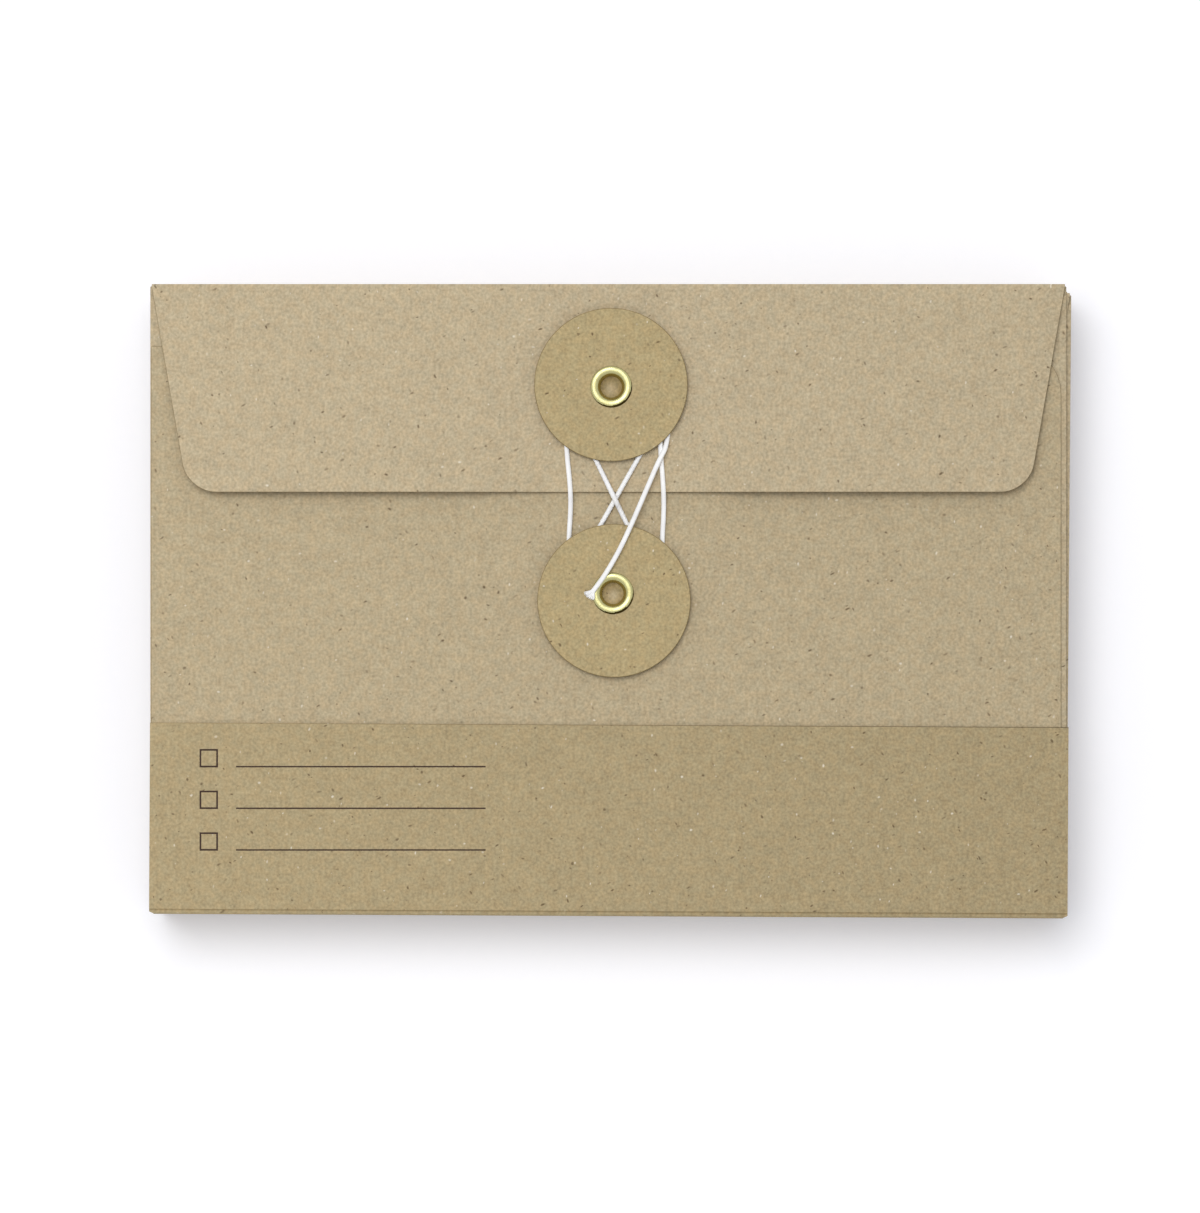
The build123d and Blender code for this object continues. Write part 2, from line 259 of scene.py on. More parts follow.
def start_group(name, inputs, outputs):
    """A shader node group with named sockets, each given as a label and a kind."""
    group = bpy.data.node_groups.new(name, "ShaderNodeTree")
    for label, kind in inputs:
        group.interface.new_socket(label, in_out="INPUT", socket_type="NodeSocket" + kind)
    for label, kind in outputs:
        group.interface.new_socket(label, in_out="OUTPUT", socket_type="NodeSocket" + kind)
    return group, group.nodes.new("NodeGroupInput").outputs, group.nodes.new("NodeGroupOutput").inputs


def maths(tree, operation, first, second=0.0):
    """One sum on two values or sockets."""
    return add(tree, "Math", {0: first, 1: second}, operation=operation).outputs[0]


def spread(tree, value, low, high, to_low, to_high):
    """A value moved from one range to another, and held there."""
    ends = {"From Min": low, "From Max": high, "To Min": to_low, "To Max": to_high}
    return add(tree, "MapRange", {"Value": value, **ends}).outputs[0]


def mixed(tree, share, first, second, blend="MIX"):
    """Two colours mixed by a share."""
    return add(tree, "Mix", {0: share, 6: first, 7: second}, data_type="RGBA", blend_type=blend).outputs[2]


def noise(tree, spot, scale, detail, dimensions="3D"):
    """Soft random values and colours that change from place to place."""
    inputs = {"Vector": spot, "Scale": scale, "Detail": detail}
    return add(tree, "TexNoise", inputs, noise_dimensions=dimensions).outputs


def strayed(tree, spot, scale, reach, dimensions="3D"):
    """Coordinates that stray a little, so that what they place has uneven edges."""
    inputs = {0: noise(tree, spot, scale, 2.0, dimensions)["Color"], 1: (reach,) * 3, 2: spot}
    return add(tree, "VectorMath", inputs, operation="MULTIPLY_ADD").outputs[0]


print("a screen's middle grey is", round(colour(128, 128, 128)[0], 3), "of white light")

# %% [markdown]
# ## Flecks and fibres
#
# Recycled pulp leaves small flecks of bark and of bleached paper in kraft. A Voronoi texture divides
# the sheet into cells, and a fleck is the neighbourhood of a cell's point, in a few cells that are
# chosen by chance. Each kind of fleck is turned and stretched its own way, so they don't all lie in one
# direction.

# %% Flecks and fibres
FLECK_SCALE = 300
FLECK_LEAST_SIZE = 0.35
FLECK_FAINTEST = 0.25
FLECK_SOFTNESS = 0.6
# turn in degrees, stretch and largest size of each kind of fleck, as shares of a cell
DARK_FLECKS = ((25, 2.3, 0.14), (118, 1.9, 0.12), (70, 1.2, 0.09), (165, 1.5, 0.1))
PALE_FLECKS = ((10, 1.3, 0.085), (80, 1.8, 0.09))


def laid(tree, spot, degrees, scales):
    """Coordinates that are turned by an angle and then stretched."""
    turn = (0, 0, math.radians(degrees))
    inputs = {"Vector": spot, "Rotation": turn, "Scale": [1 / scale for scale in scales]}
    return add(tree, "Mapping", inputs, vector_type="TEXTURE").outputs[0]


def flecks(tree, spot, kinds, share):
    """A mask of small uneven flecks, one at most in each cell of a loose net."""
    mask = 0.0
    for degrees, stretch, size in kinds:
        net = {"Vector": laid(tree, spot, degrees, (1, stretch, 1)), "Scale": FLECK_SCALE}
        cells = add(tree, "TexVoronoi", net, voronoi_dimensions="2D").outputs
        chance = add(tree, "SeparateColor", {0: cells["Color"]}).outputs
        chosen = maths(tree, "LESS_THAN", chance[0], share)
        reach = maths(tree, "MULTIPLY", maths(tree, "ADD", chance[1], FLECK_LEAST_SIZE), size)
        inside = maths(tree, "SUBTRACT", 1.0, maths(tree, "DIVIDE", cells["Distance"], reach))
        depth = maths(tree, "MULTIPLY", spread(tree, chance[2], 0.0, 1.0, FLECK_FAINTEST, 1.0), chosen)
        fleck = maths(tree, "MULTIPLY", spread(tree, inside, 0.0, FLECK_SOFTNESS, 0.0, 1.0), depth)
        mask = maths(tree, "MAXIMUM", fleck, mask)
    return mask


print(len(DARK_FLECKS), "kinds of dark flecks and", len(PALE_FLECKS), "kinds of pale ones")

# %% [markdown]
# ## Kraft grain
#
# Kraft paper is pressed from unbleached fibres. Close up it shows soft clouds where the pulp is
# thicker, a fine grain, short fibres lying every way, and flecks. The tone is also painted a little
# darker towards the right, as painted shade for the lamp's light falling off from the left. All papers
# of the pack share that look, so it is one node group, and each paper places it with its own base
# colour, its own patch of the pattern and its own amount of painted shade. The pattern is flat: a
# sheet has no depth to speak of, and where paper turns down a fold, height is added to the length, so
# the grain runs on round the fold.

# %% Kraft grain group
NOISE_SPAN = (0.25, 0.75)
CLOUD_SCALE = 170
MOTTLE_SCALE = 620
MOTTLE_TONES = (-0.065, 0.065)
GRAIN_SCALE = 1850
GRAIN_TONES = (0.825, 1.175)
ROUGHNESS_SPAN, ROUGHNESS = (0.2, 0.8), (0.95, 0.78)
TINT_SCALE = 560
TINT_SPAN = (0.35, 0.65)
WARM_TINT = (1.018, 0.994, 0.968, 1)
COOL_TINT = (0.982, 1.006, 1.028, 1)
STRAY_SCALE, STRAY_REACH = 900, 0.0004
FOLD_SHIFT = 0.61
FIBRE_SCALES = (420, 4200, 1)
FIBRE_ANGLES = (20, 80, 140)
FIBRE_SPAN = (0.62, 0.78)
FIBRE_TONE = -0.06
FIBRE_HEIGHT = 0.6
DARK_FLECK, DARK_COVER = colour(84, 66, 44), 0.8
PALE_FLECK, PALE_COVER = colour(232, 224, 206), 0.75

group, given, result = start_group(
    "kraft grain",
    [("Base", "Color"), ("Patch", "Vector"), ("Cloud", "Float"), ("Fleck", "Float"), ("Fade", "Float")],
    [("Color", "Color"), ("Roughness", "Float"), ("Height", "Float")],
)
place = add(group, "TexCoord").outputs["Object"]
# painted shade: the tone falls off towards the right, standing in for the lamp's light falling off
painted_falloff_tone = maths(group, "MULTIPLY", add(group, "SeparateXYZ", {0: place}).outputs[0], given["Fade"])
patch = add(group, "VectorMath", {0: place, 1: given["Patch"]}, operation="ADD").outputs[0]
axes = add(group, "SeparateXYZ", {0: patch}).outputs
across = add(group, "Math", {0: axes[2], 1: FOLD_SHIFT, 2: axes[0]}, operation="MULTIPLY_ADD").outputs[0]
along = maths(group, "ADD", axes[1], axes[2])
flat = add(group, "CombineXYZ", {0: across, 1: along}).outputs[0]
bent = strayed(group, flat, STRAY_SCALE, STRAY_REACH, "2D")
cloud = noise(group, flat, CLOUD_SCALE, 5.0, "2D")[0]
mottle = noise(group, flat, MOTTLE_SCALE, 2.0, "2D")[0]
grain = noise(group, flat, GRAIN_SCALE, 4.0, "2D")[0]
tint = noise(group, bent, TINT_SCALE, 4.0, "2D")[0]
fibre = 0.0
for angle in FIBRE_ANGLES:
    streak = noise(group, laid(group, bent, angle, FIBRE_SCALES), 1.0, 1.0, "2D")[0]
    fibre = maths(group, "MAXIMUM", spread(group, streak, *FIBRE_SPAN, 0.0, 1.0), fibre)

tone = maths(group, "MULTIPLY", maths(group, "SUBTRACT", cloud, 0.5), given["Cloud"])
tone = maths(group, "ADD", tone, spread(group, grain, *NOISE_SPAN, *GRAIN_TONES))
tone = maths(group, "ADD", tone, spread(group, mottle, *NOISE_SPAN, *MOTTLE_TONES))
tone = maths(group, "ADD", tone, maths(group, "MULTIPLY", fibre, FIBRE_TONE))
tone = maths(group, "SUBTRACT", tone, painted_falloff_tone)
hue = mixed(group, spread(group, tint, *TINT_SPAN, 0.0, 1.0), WARM_TINT, COOL_TINT)
hue = mixed(group, 1.0, given["Base"], hue, "MULTIPLY")
shade = add(group, "VectorMath", {0: hue, "Scale": tone}, operation="SCALE").outputs[0]
dark = flecks(group, bent, DARK_FLECKS, given["Fleck"])
pale = flecks(group, bent, PALE_FLECKS, given["Fleck"])
dotted = mixed(group, maths(group, "MULTIPLY", dark, DARK_COVER), shade, DARK_FLECK)
dotted = mixed(group, maths(group, "MULTIPLY", pale, PALE_COVER), dotted, PALE_FLECK)
height = maths(group, "ADD", maths(group, "MULTIPLY", fibre, FIBRE_HEIGHT), grain)
group.links.new(dotted, result["Color"])
group.links.new(spread(group, grain, *ROUGHNESS_SPAN, *ROUGHNESS), result["Roughness"])
group.links.new(height, result["Height"])
kraft_grain = group
print("kraft grain has", len(kraft_grain.nodes), "nodes")

# %% [markdown]
# ## Painted shade in the eyelet holes
#
# Through an eyelet the paper behind it can be seen, and there a darker olive ring, a little below the
# middle, is painted as the shade down in the hole. A mask by the distance from a point draws it, on
# faces that look up alone. Two papers show such painted shade, the back under the lower eyelet and the
# pocket under the upper one, so the mask is a group.

# %% Painted shade in the eyelet holes
# millimetres from the middle, and the share of the painted shade tint at most
HOLE_SHADE_STARTS, HOLE_SHADE_FULL, HOLE_SHADE_MOST = 0.4, 1.7, 0.65
HOLE_SHADE_FADES, HOLE_SHADE_ENDS = 2.4, 2.9
HOLE_SHADE_OFFSET = -0.5
HOLE_SHADE_TINT = (0.55, 0.49, 0.28, 1)
# a face whose normal rises by more than this looks up
LOOKS_UP = 0.5

group, given, result = start_group("eyelet hole shade", [("Centre", "Vector")], [("Share", "Float")])
place = add(group, "TexCoord").outputs
level = add(group, "VectorMath", {0: place["Object"], 1: (1, 1, 0)}, operation="MULTIPLY").outputs[0]
away = add(group, "VectorMath", {0: level, 1: given["Centre"]}, operation="DISTANCE").outputs["Value"]
painted_hole_shade = spread(group, away, HOLE_SHADE_STARTS * MM, HOLE_SHADE_FULL * MM, 0.0, HOLE_SHADE_MOST)
painted_hole_shade = maths(group, "MULTIPLY", painted_hole_shade, spread(group, away, HOLE_SHADE_FADES * MM, HOLE_SHADE_ENDS * MM, 1.0, 0.0))
facing = add(group, "SeparateXYZ", {0: place["Normal"]}).outputs[2]
painted_hole_shade = maths(group, "MULTIPLY", painted_hole_shade, maths(group, "GREATER_THAN", facing, LOOKS_UP))
group.links.new(painted_hole_shade, result["Share"])
eyelet_hole_shade = group


def hole_shade_spot(button):
    """The middle of the painted shade in an eyelet hole, a little below its eyelet."""
    spot = envelope_place(1) @ Vector((button.x, button.y + HOLE_SHADE_OFFSET, 0))
    return (spot.x, spot.y, 0)


print("painted shade in eyelet holes at", hole_shade_spot(UPPER_BUTTON), hole_shade_spot(LOWER_BUTTON))

# %% [markdown]
# ## Paper finishes
#
# The envelopes are a pale, greyish kraft, and the pocket fronts are painted a touch darker, as painted
# shade for light that falls off towards the foot. The discs are cut from a warmer board. Cut edges are
# a little duller than the face of a sheet and are painted darker still, as painted shade for the dark
# lines along the flap's edges and round the discs. Each of these is a material of its own round the
# shared grain, with a matt surface and a fine bump.

# %% Paper finishes
GRAIN_DEPTH = 0.00006
PAPER_GLOSS = 0.25


# the falloff value darkens the paper towards the right, as painted shade for the lamp's falloff
def paper_finish(name, base, patch, cloud=0.16, fleck=0.085, painted_falloff=0.45, bump=0.35, shaded_hole=None):
    """A matt paper with the shared grain. Returns the material and what a print on it needs."""
    material, tree, output = blank_material(name)
    grain = add(tree, "Group", node_tree=kraft_grain)
    values = {"Base": base, "Patch": patch, "Cloud": cloud, "Fleck": fleck, "Fade": painted_falloff}
    for label, value in values.items():
        grain.inputs[label].default_value = value
    bumps = {"Height": grain.outputs["Height"], "Strength": bump, "Distance": GRAIN_DEPTH}
    shade = grain.outputs["Color"]
    # painted shade: a darker olive ring on the paper seen through an eyelet
    if shaded_hole:
        hole_shade_node = add(tree, "Group", node_tree=eyelet_hole_shade)
        hole_shade_node.inputs["Centre"].default_value = hole_shade_spot(shaded_hole)
        shade = mixed(tree, hole_shade_node.outputs["Share"], shade, HOLE_SHADE_TINT, "MULTIPLY")
    surface = {
        "Base Color": shade,
        "Roughness": grain.outputs["Roughness"],
        "Normal": add(tree, "Bump", bumps).outputs[0],
        "Specular IOR Level": PAPER_GLOSS,
    }
    skin = add(tree, "BsdfPrincipled", surface)
    tree.links.new(skin.outputs[0], output.inputs["Surface"])
    return material, tree, grain, skin


kraft = paper_finish("kraft_paper", colour(186, 170, 140), (0, 0, 0), shaded_hole=LOWER_BUTTON)[0]
# painted shade: the pocket's kraft is a touch darker than the flap's, for light that falls off towards the
# foot
kraft_pocket_painted_shade = paper_finish("kraft_pocket_painted_shade", colour(181, 165, 134), (0.31, 0.17, 0), shaded_hole=UPPER_BUTTON)[0]
# painted shade: cut edges are painted dark brown for the shade lines along the flap's edges
kraft_edge_painted_shade = paper_finish("kraft_cut_edge_painted_shade", colour(128, 110, 78), (0.05, 0.4, 0))[0]
disc_board = paper_finish("disc_board", colour(176, 158, 118), (0.23, 0.53, 0), fleck=0.07)[0]
# the discs' cut edge is duller board, painted darker as painted shade for the shade line round each disc
disc_edge_dull_and_shade = paper_finish("disc_cut_edge_dull_and_shade", colour(140, 121, 82), (0.6, 0.1, 0))[0]
print("papers:", *[paper.name for paper in (kraft, kraft_pocket_painted_shade, kraft_edge_painted_shade, disc_board, disc_edge_dull_and_shade)])

# %% [markdown]
# ## The band's paper and its blank label
#
# The band is a warmer and darker sheet than the envelopes. Its cut edge shows a paler core, and a
# strip along its free edge is painted darker, more so towards the right, as painted shade along that
# edge. It has a plain write-on label, printed in dark brown ink: ruled lines with a tick box before
# each. A rule is only a thin rectangle, so one small node group tells how far a point is inside a
# rectangle, and the band's material places it once for every line. Ink is kept to faces that look up
# from the upper half of the pack, so the label isn't printed on the inside of the band too.

# %% Band paper with its ruled label
INK = colour(62, 47, 40)
INK_SPREAD, INK_RAGGED_SCALE = 0.00006, 3200
# places and weights of the printed bars, in millimetres from the pack's middle
RULE_LEFT, RULE_RIGHT, RULE_WEIGHT = -72.0, -24.0, 0.35
RULE_ROWS = (-32.0, -40.0, -48.0)
BOX_LEFT, BOX_SIZE, BOX_WEIGHT = -79.0, 3.6, 0.4

group, given, result = start_group(
    "printed bar",
    [("Left", "Float"), ("Right", "Float"), ("Low", "Float"), ("High", "Float")],
    [("Mask", "Float")],
)
place = add(group, "TexCoord").outputs["Object"]
ragged = strayed(group, place, INK_RAGGED_SCALE, INK_SPREAD)
axes = add(group, "SeparateXYZ", {0: ragged}).outputs
inside = maths(group, "SUBTRACT", axes[0], given["Left"])
inside = maths(group, "MINIMUM", inside, maths(group, "SUBTRACT", given["Right"], axes[0]))
inside = maths(group, "MINIMUM", inside, maths(group, "SUBTRACT", axes[1], given["Low"]))
inside = maths(group, "MINIMUM", inside, maths(group, "SUBTRACT", given["High"], axes[1]))
group.links.new(spread(group, inside, 0.0, INK_SPREAD, 0.0, 1.0), result["Mask"])
printed_bar = group


def label_bars():
    """The edges of every printed bar, in millimetres."""
    bars = []
    for row in RULE_ROWS:
        bars.append((RULE_LEFT, RULE_RIGHT, row, row + RULE_WEIGHT))
        left, right = BOX_LEFT, BOX_LEFT + BOX_SIZE
        low, high = row, row + BOX_SIZE
        bars.append((left, right, low, low + BOX_WEIGHT))
        bars.append((left, right, high - BOX_WEIGHT, high))
        bars.append((left, left + BOX_WEIGHT, low, high))
        bars.append((right - BOX_WEIGHT, right, low, high))
    return bars


band_colour = colour(170, 153, 118)
band_patch = (0.71, 0.33, 0)
band_paper, tree, grain, skin = paper_finish("band_paper", band_colour, band_patch, fleck=0.1, painted_falloff=0.8)
ink_mask = 0.0
for bar in label_bars():
    stroke = add(tree, "Group", node_tree=printed_bar)
    for label, edge in zip(("Left", "Right", "Low", "High"), bar):
        stroke.inputs[label].default_value = edge * MM
    ink_mask = maths(tree, "MAXIMUM", stroke.outputs["Mask"], ink_mask)
place = add(tree, "TexCoord").outputs
height = add(tree, "SeparateXYZ", {0: place["Object"]}).outputs[2]
facing = add(tree, "SeparateXYZ", {0: place["Normal"]}).outputs[2]
for value, least in ((height, cad_high.z / 2), (facing, LOOKS_UP)):
    ink_mask = maths(tree, "MULTIPLY", ink_mask, maths(tree, "GREATER_THAN", value, least))
tree.links.new(mixed(tree, ink_mask, grain.outputs["Color"], INK), skin.inputs["Base Color"])
band_edge = paper_finish("band_cut_edge", colour(184, 168, 134), (0.2, 0.7, 0))[0]
# painted shade: a dark strip along the band's free edge, much darker towards the right through a strong
# falloff
band_edge_painted_shade = paper_finish("band_edge_strip_painted_shade", colour(135, 118, 86), (0.4, 0.2, 0), painted_falloff=6.0)[0]
print("label has", len(label_bars()), "printed bars")

# %% [markdown]
# ## Brass and cotton
#
# The eyelets are thin bright brass, pressed and rolled, with faint marks of the tool. The string is
# bleached cotton: matt, with loose fibres that scatter light, so it gets a little sheen and a fine
# uneven bump.

# %% Brass and cotton
TARNISH = colour(128, 108, 46)
TARNISH_SCALE = 700
TARNISH_SPAN, TARNISH_MOST = (0.5, 0.8), 0.4
POLISH_SPAN, POLISH = (0.3, 0.7), 0.12
# painted shade: the dark colour of the crescent along the lip's lower, shaded side
PAINTED_RIM_SHADE = colour(58, 48, 18)


def brass_finish(name, bright, roughest):
    """Pressed brass with tarnish in patches."""
    material, tree, output = blank_material(name)
    place = add(tree, "TexCoord").outputs["Object"]
    tarnish = noise(tree, place, TARNISH_SCALE, 4.0)[0]
    patches = spread(tree, tarnish, *TARNISH_SPAN, 0.0, TARNISH_MOST)
    rough = spread(tree, tarnish, *POLISH_SPAN, roughest - POLISH, roughest)
    surface = {"Base Color": mixed(tree, patches, bright, TARNISH), "Roughness": rough, "Metallic": 1.0}
    skin = add(tree, "BsdfPrincipled", surface)
    tree.links.new(skin.outputs[0], output.inputs["Surface"])
    return material


brass = brass_finish("eyelet_brass", colour(178, 174, 126), 0.42)
# the bore is tarnished, and painted darker olive as painted shade down in the eyelet
brass_bore_tarnish_and_shade = brass_finish("eyelet_bore_tarnish_and_shade", colour(178, 163, 88), 0.55)
brass_rim_painted_shade = brass_finish("eyelet_rim_painted_shade", PAINTED_RIM_SHADE, 0.6)

COTTON_WHITE, COTTON_SHADE = colour(250, 250, 250), colour(240, 239, 240)
COTTON_ROUGHNESS, COTTON_SHEEN = 0.92, 0.25
FUZZ_SCALE, FUZZ_STRENGTH, FUZZ_DEPTH = 5200, 0.35, 0.0001
SLUB_SCALE, SLUB_SPAN = 380, (0.35, 0.7)

cotton, tree, output = blank_material("cotton_string")
place = add(tree, "TexCoord").outputs["Object"]
fuzz = noise(tree, place, FUZZ_SCALE, 3.0)[0]
slub = spread(tree, noise(tree, place, SLUB_SCALE, 2.0)[0], *SLUB_SPAN, 0.0, 1.0)
bumps = {"Height": fuzz, "Strength": FUZZ_STRENGTH, "Distance": FUZZ_DEPTH}
surface = {
    "Base Color": mixed(tree, slub, COTTON_WHITE, COTTON_SHADE),
    "Roughness": COTTON_ROUGHNESS,
    "Normal": add(tree, "Bump", bumps).outputs[0],
    "Sheen Weight": COTTON_SHEEN,
}
skin = add(tree, "BsdfPrincipled", surface)
tree.links.new(skin.outputs[0], output.inputs["Surface"])
print("made", len(bpy.data.materials), "materials")

# %% [markdown]
# ## How a piece is finished
#
# Each piece starts as a bmesh in millimetres. One helper moves it to its place, gives it its materials,
# smooths it except at real corners, names the body that it moves with and the nodes that it stands for.
# Paper is modelled as a surface with no thickness, and a Solidify modifier gives it both faces and a
# cut edge with its own material.

# %% Finish a piece
SHARP_ANGLE = math.radians(38)


def freeze(piece):
    """Replace a piece's mesh by the result of its modifiers."""
    graph = bpy.context.evaluated_depsgraph_get()
    shaped = bpy.data.meshes.new_from_object(piece.evaluated_get(graph))
    piece.modifiers.clear()
    piece.data = shaped


def new_piece(name, bm, place, materials, thickness=0.0, chamfer=0.0):
    """Turn a bmesh into an object at the origin, with its place in its mesh."""
    bmesh.ops.transform(bm, matrix=place, verts=bm.verts)
    mesh = bpy.data.meshes.new(name)
    bm.to_mesh(mesh)
    bm.free()
    piece = bpy.data.objects.new(name, mesh)
    scene.collection.objects.link(piece)
    for material in materials:
        mesh.materials.append(material)
    if thickness:
        sheet = piece.modifiers.new("paper", "SOLIDIFY")
        sheet.thickness = thickness * MM
        sheet.offset = 0
        sheet.use_even_offset = True
        sheet.material_offset_rim = 1
    # the chamfer carries the rim material, which paints shade lines along the cut edges
    if chamfer:
        shade_chamfer = piece.modifiers.new("painted shade chamfer", "BEVEL")
        shade_chamfer.width = chamfer * MM
        shade_chamfer.material = 1
    if thickness:
        freeze(piece)
    piece.data.polygons.foreach_set("use_smooth", [True] * len(piece.data.polygons))
    piece.data.set_sharp_from_angle(angle=SHARP_ANGLE)
    return piece


def stand_in(piece, nodes, body=None):
    """Hide the nodes that a piece stands for, and attach it to the body that carries it, if one is given.
    """
    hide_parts(*nodes)
    if body:
        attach(piece, body)


def body_of(number):
    """The body that carries an envelope."""
    return f"envelope_{number}"


print("edges that turn by more than", round(math.degrees(SHARP_ANGLE)), "degrees stay sharp")

# %% [markdown]
# ## Cutting, folding and punching paper
#
# An envelope is made with a knife, a folding bone and a punch, and the same few steps make it here. A
# knife is bisect_plane, a fold is a row of edges that is spun about a line, and a panel is a row of
# edges that is drawn out. A punched hole needs a neat ring of faces round it, so a square patch is
# taken out and bridged to a circle.

# %% Paper tools
EYELET_HOLE = 2.8
HOLE_PATCH = 6.0
HOLE_CUTS = 5
ON_LINE = 1e-3


def first_edge(bm, start, end):
    """A bmesh begins with one edge between two points."""
    return [bm.edges.new((bm.verts.new(start), bm.verts.new(end)))]


def cut_across(bm, axis, places):
    """Cut a mesh along planes square to one axis."""
    normal = Vector((axis == 0, axis == 1, 0))
    for place in places:
        everything = bm.verts[:] + bm.edges[:] + bm.faces[:]
        bmesh.ops.bisect_plane(bm, geom=everything, plane_co=normal * place, plane_no=normal)


def edges_along(bm, axis, place):
    """The edges that lie on a plane square to one axis."""
    return [edge for edge in bm.edges if all(abs(vert.co[axis] - place) < ON_LINE for vert in edge.verts)]


def drawn_out(bm, edges, move):
    """Draw new faces out from a row of edges, and return the edges at their far side."""
    grown = bmesh.ops.extrude_edge_only(bm, edges=edges)["geom"]
    far_verts = [item for item in grown if isinstance(item, bmesh.types.BMVert)]
    bmesh.ops.translate(bm, verts=far_verts, vec=move)
    new_edges = [item for item in grown if isinstance(item, bmesh.types.BMEdge)]
    return [edge for edge in new_edges if all(vert in far_verts for vert in edge.verts)]


def folded(bm, edges, centre, axis, degrees, steps):
    """Spin a row of edges round a fold, and return the edges at its far side."""
    angle = math.radians(degrees)
    fold = {"cent": centre, "axis": axis, "angle": angle, "steps": steps, "use_duplicate": False}
    spun = bmesh.ops.spin(bm, geom=edges, **fold)
    return [item for item in spun["geom_last"] if isinstance(item, bmesh.types.BMEdge)]


def rounded(bm, corners, reach, segments):
    """Round some corners of a flat sheet."""
    how = {"affect": "VERTICES", "segments": segments, "profile": 0.5, "material": -1}
    bmesh.ops.bevel(bm, geom=corners, offset=reach, **how)


def rim_of_patch(bm, centre):
    """The open edges and loose edges in the square patch round a hole."""
    near = HOLE_PATCH + PAPER
    rim = []
    for edge in bm.edges:
        away = [max(abs(vert.co.x - centre.x), abs(vert.co.y - centre.y)) for vert in edge.verts]
        if (edge.is_boundary or edge.is_wire) and max(away) < near:
            rim.append(edge)
    return rim


def punch(bm, centre, radius):
    """Punch a round hole through a flat sheet."""
    for axis in (0, 1):
        cut_across(bm, axis, [centre[axis] - HOLE_PATCH, centre[axis] + HOLE_PATCH])
    patch = []
    for face in bm.faces:
        away = face.calc_center_median().xy - centre
        if max(abs(away.x), abs(away.y)) < HOLE_PATCH:
            patch.append(face)
    level = patch[0].calc_center_median().z
    bmesh.ops.delete(bm, geom=patch, context="FACES")
    bmesh.ops.subdivide_edges(bm, edges=rim_of_patch(bm, centre), cuts=HOLE_CUTS)
    sides = len(rim_of_patch(bm, centre))
    hole = Matrix.Translation((*centre, level))
    bmesh.ops.create_circle(bm, segments=sides, radius=radius, matrix=hole)
    bmesh.ops.bridge_loops(bm, edges=rim_of_patch(bm, centre))


def eased(value, start, full):
    """A share that grows smoothly from 0 at start to 1 at full."""
    share = min(1.0, max(0.0, (value - start) / (full - start)))
    return share * share * (3 - 2 * share)


print("eyelet holes are", 2 * EYELET_HOLE, "mm across")

# %% [markdown]
# ## Back and flap
#
# The back and the flap are one sheet, folded over at the top. The flap's outline is a face with two
# corners bevelled round and a hole punched for its eyelet. Its upper edge is spun half a turn about the
# crease and then drawn down to the foot, so paper runs on from flap to back. Paper is never quite flat.
# The string holds the flap's middle down while its edge springs up at both sides, and the long sides of
# the envelopes behind curl up a little, each by its own amount. On the front envelope this sheet
# crosses the flap's hinge, so it is attached to no body, and its place is baked into its mesh.

# %% Back and flap
FLAP_EDGE_HALF = 80.7
FLAP_CORNER, FLAP_CORNER_STEPS = 5.45, 9
FLAP_COLUMNS = 22
FLAP_ROWS = 7
CREASE_STEPS = 14
FOLD_ROOM = PAPER * 1.5
FRONT_FLAP_SPRING = 1.9
SPARE_FLAP_SPRING = 0.3
SPRING_STARTS, SPRING_FULL = 9.0, 34.0
EDGE_LIFT, EDGE_LIFT_POWER = 0.35, 8
# width of the chamfer that paints a shade line along the front envelope's cut edges
EDGE_SHADE_CHAMFER = 0.08
# how far the long sides of each envelope curl up, front one first
SIDE_CURLS = (0.0, 1.6, 0.9, 1.3, 0.5, 1.0, 0.3, 0.7)
CURL_STARTS = 48.0
CURL_COLUMNS = [side * x for side in (-1, 1) for x in (48.0, 56.0, 64.0, 72.0, 80.0)]


def flap_spring(point, number):
    """How far the flap stands up from flat at a point."""
    rise, edge_lift = (FRONT_FLAP_SPRING, EDGE_LIFT) if number == 1 else (SPARE_FLAP_SPRING, 0.0)
    down = max(0.0, (CREASE_Y - point.y) / (CREASE_Y - flap[0].y))
    return rise * eased(abs(point.x), SPRING_STARTS, SPRING_FULL) * down + edge_lift * down**EDGE_LIFT_POWER


def curl_sides(bm, number, more=0.0):
    """Curl up the long sides of an envelope's sheet."""
    for vert in bm.verts:
        outward = max(0.0, abs(vert.co.x) - CURL_STARTS) / (back[1].x - CURL_STARTS)
        vert.co.z += (SIDE_CURLS[number - 1] + more) * outward**2


def widen(edges, share):
    """Move a row of edges in or out from the middle of the sheet."""
    for vert in {vert for edge in edges for vert in edge.verts}:
        vert.co.x *= share


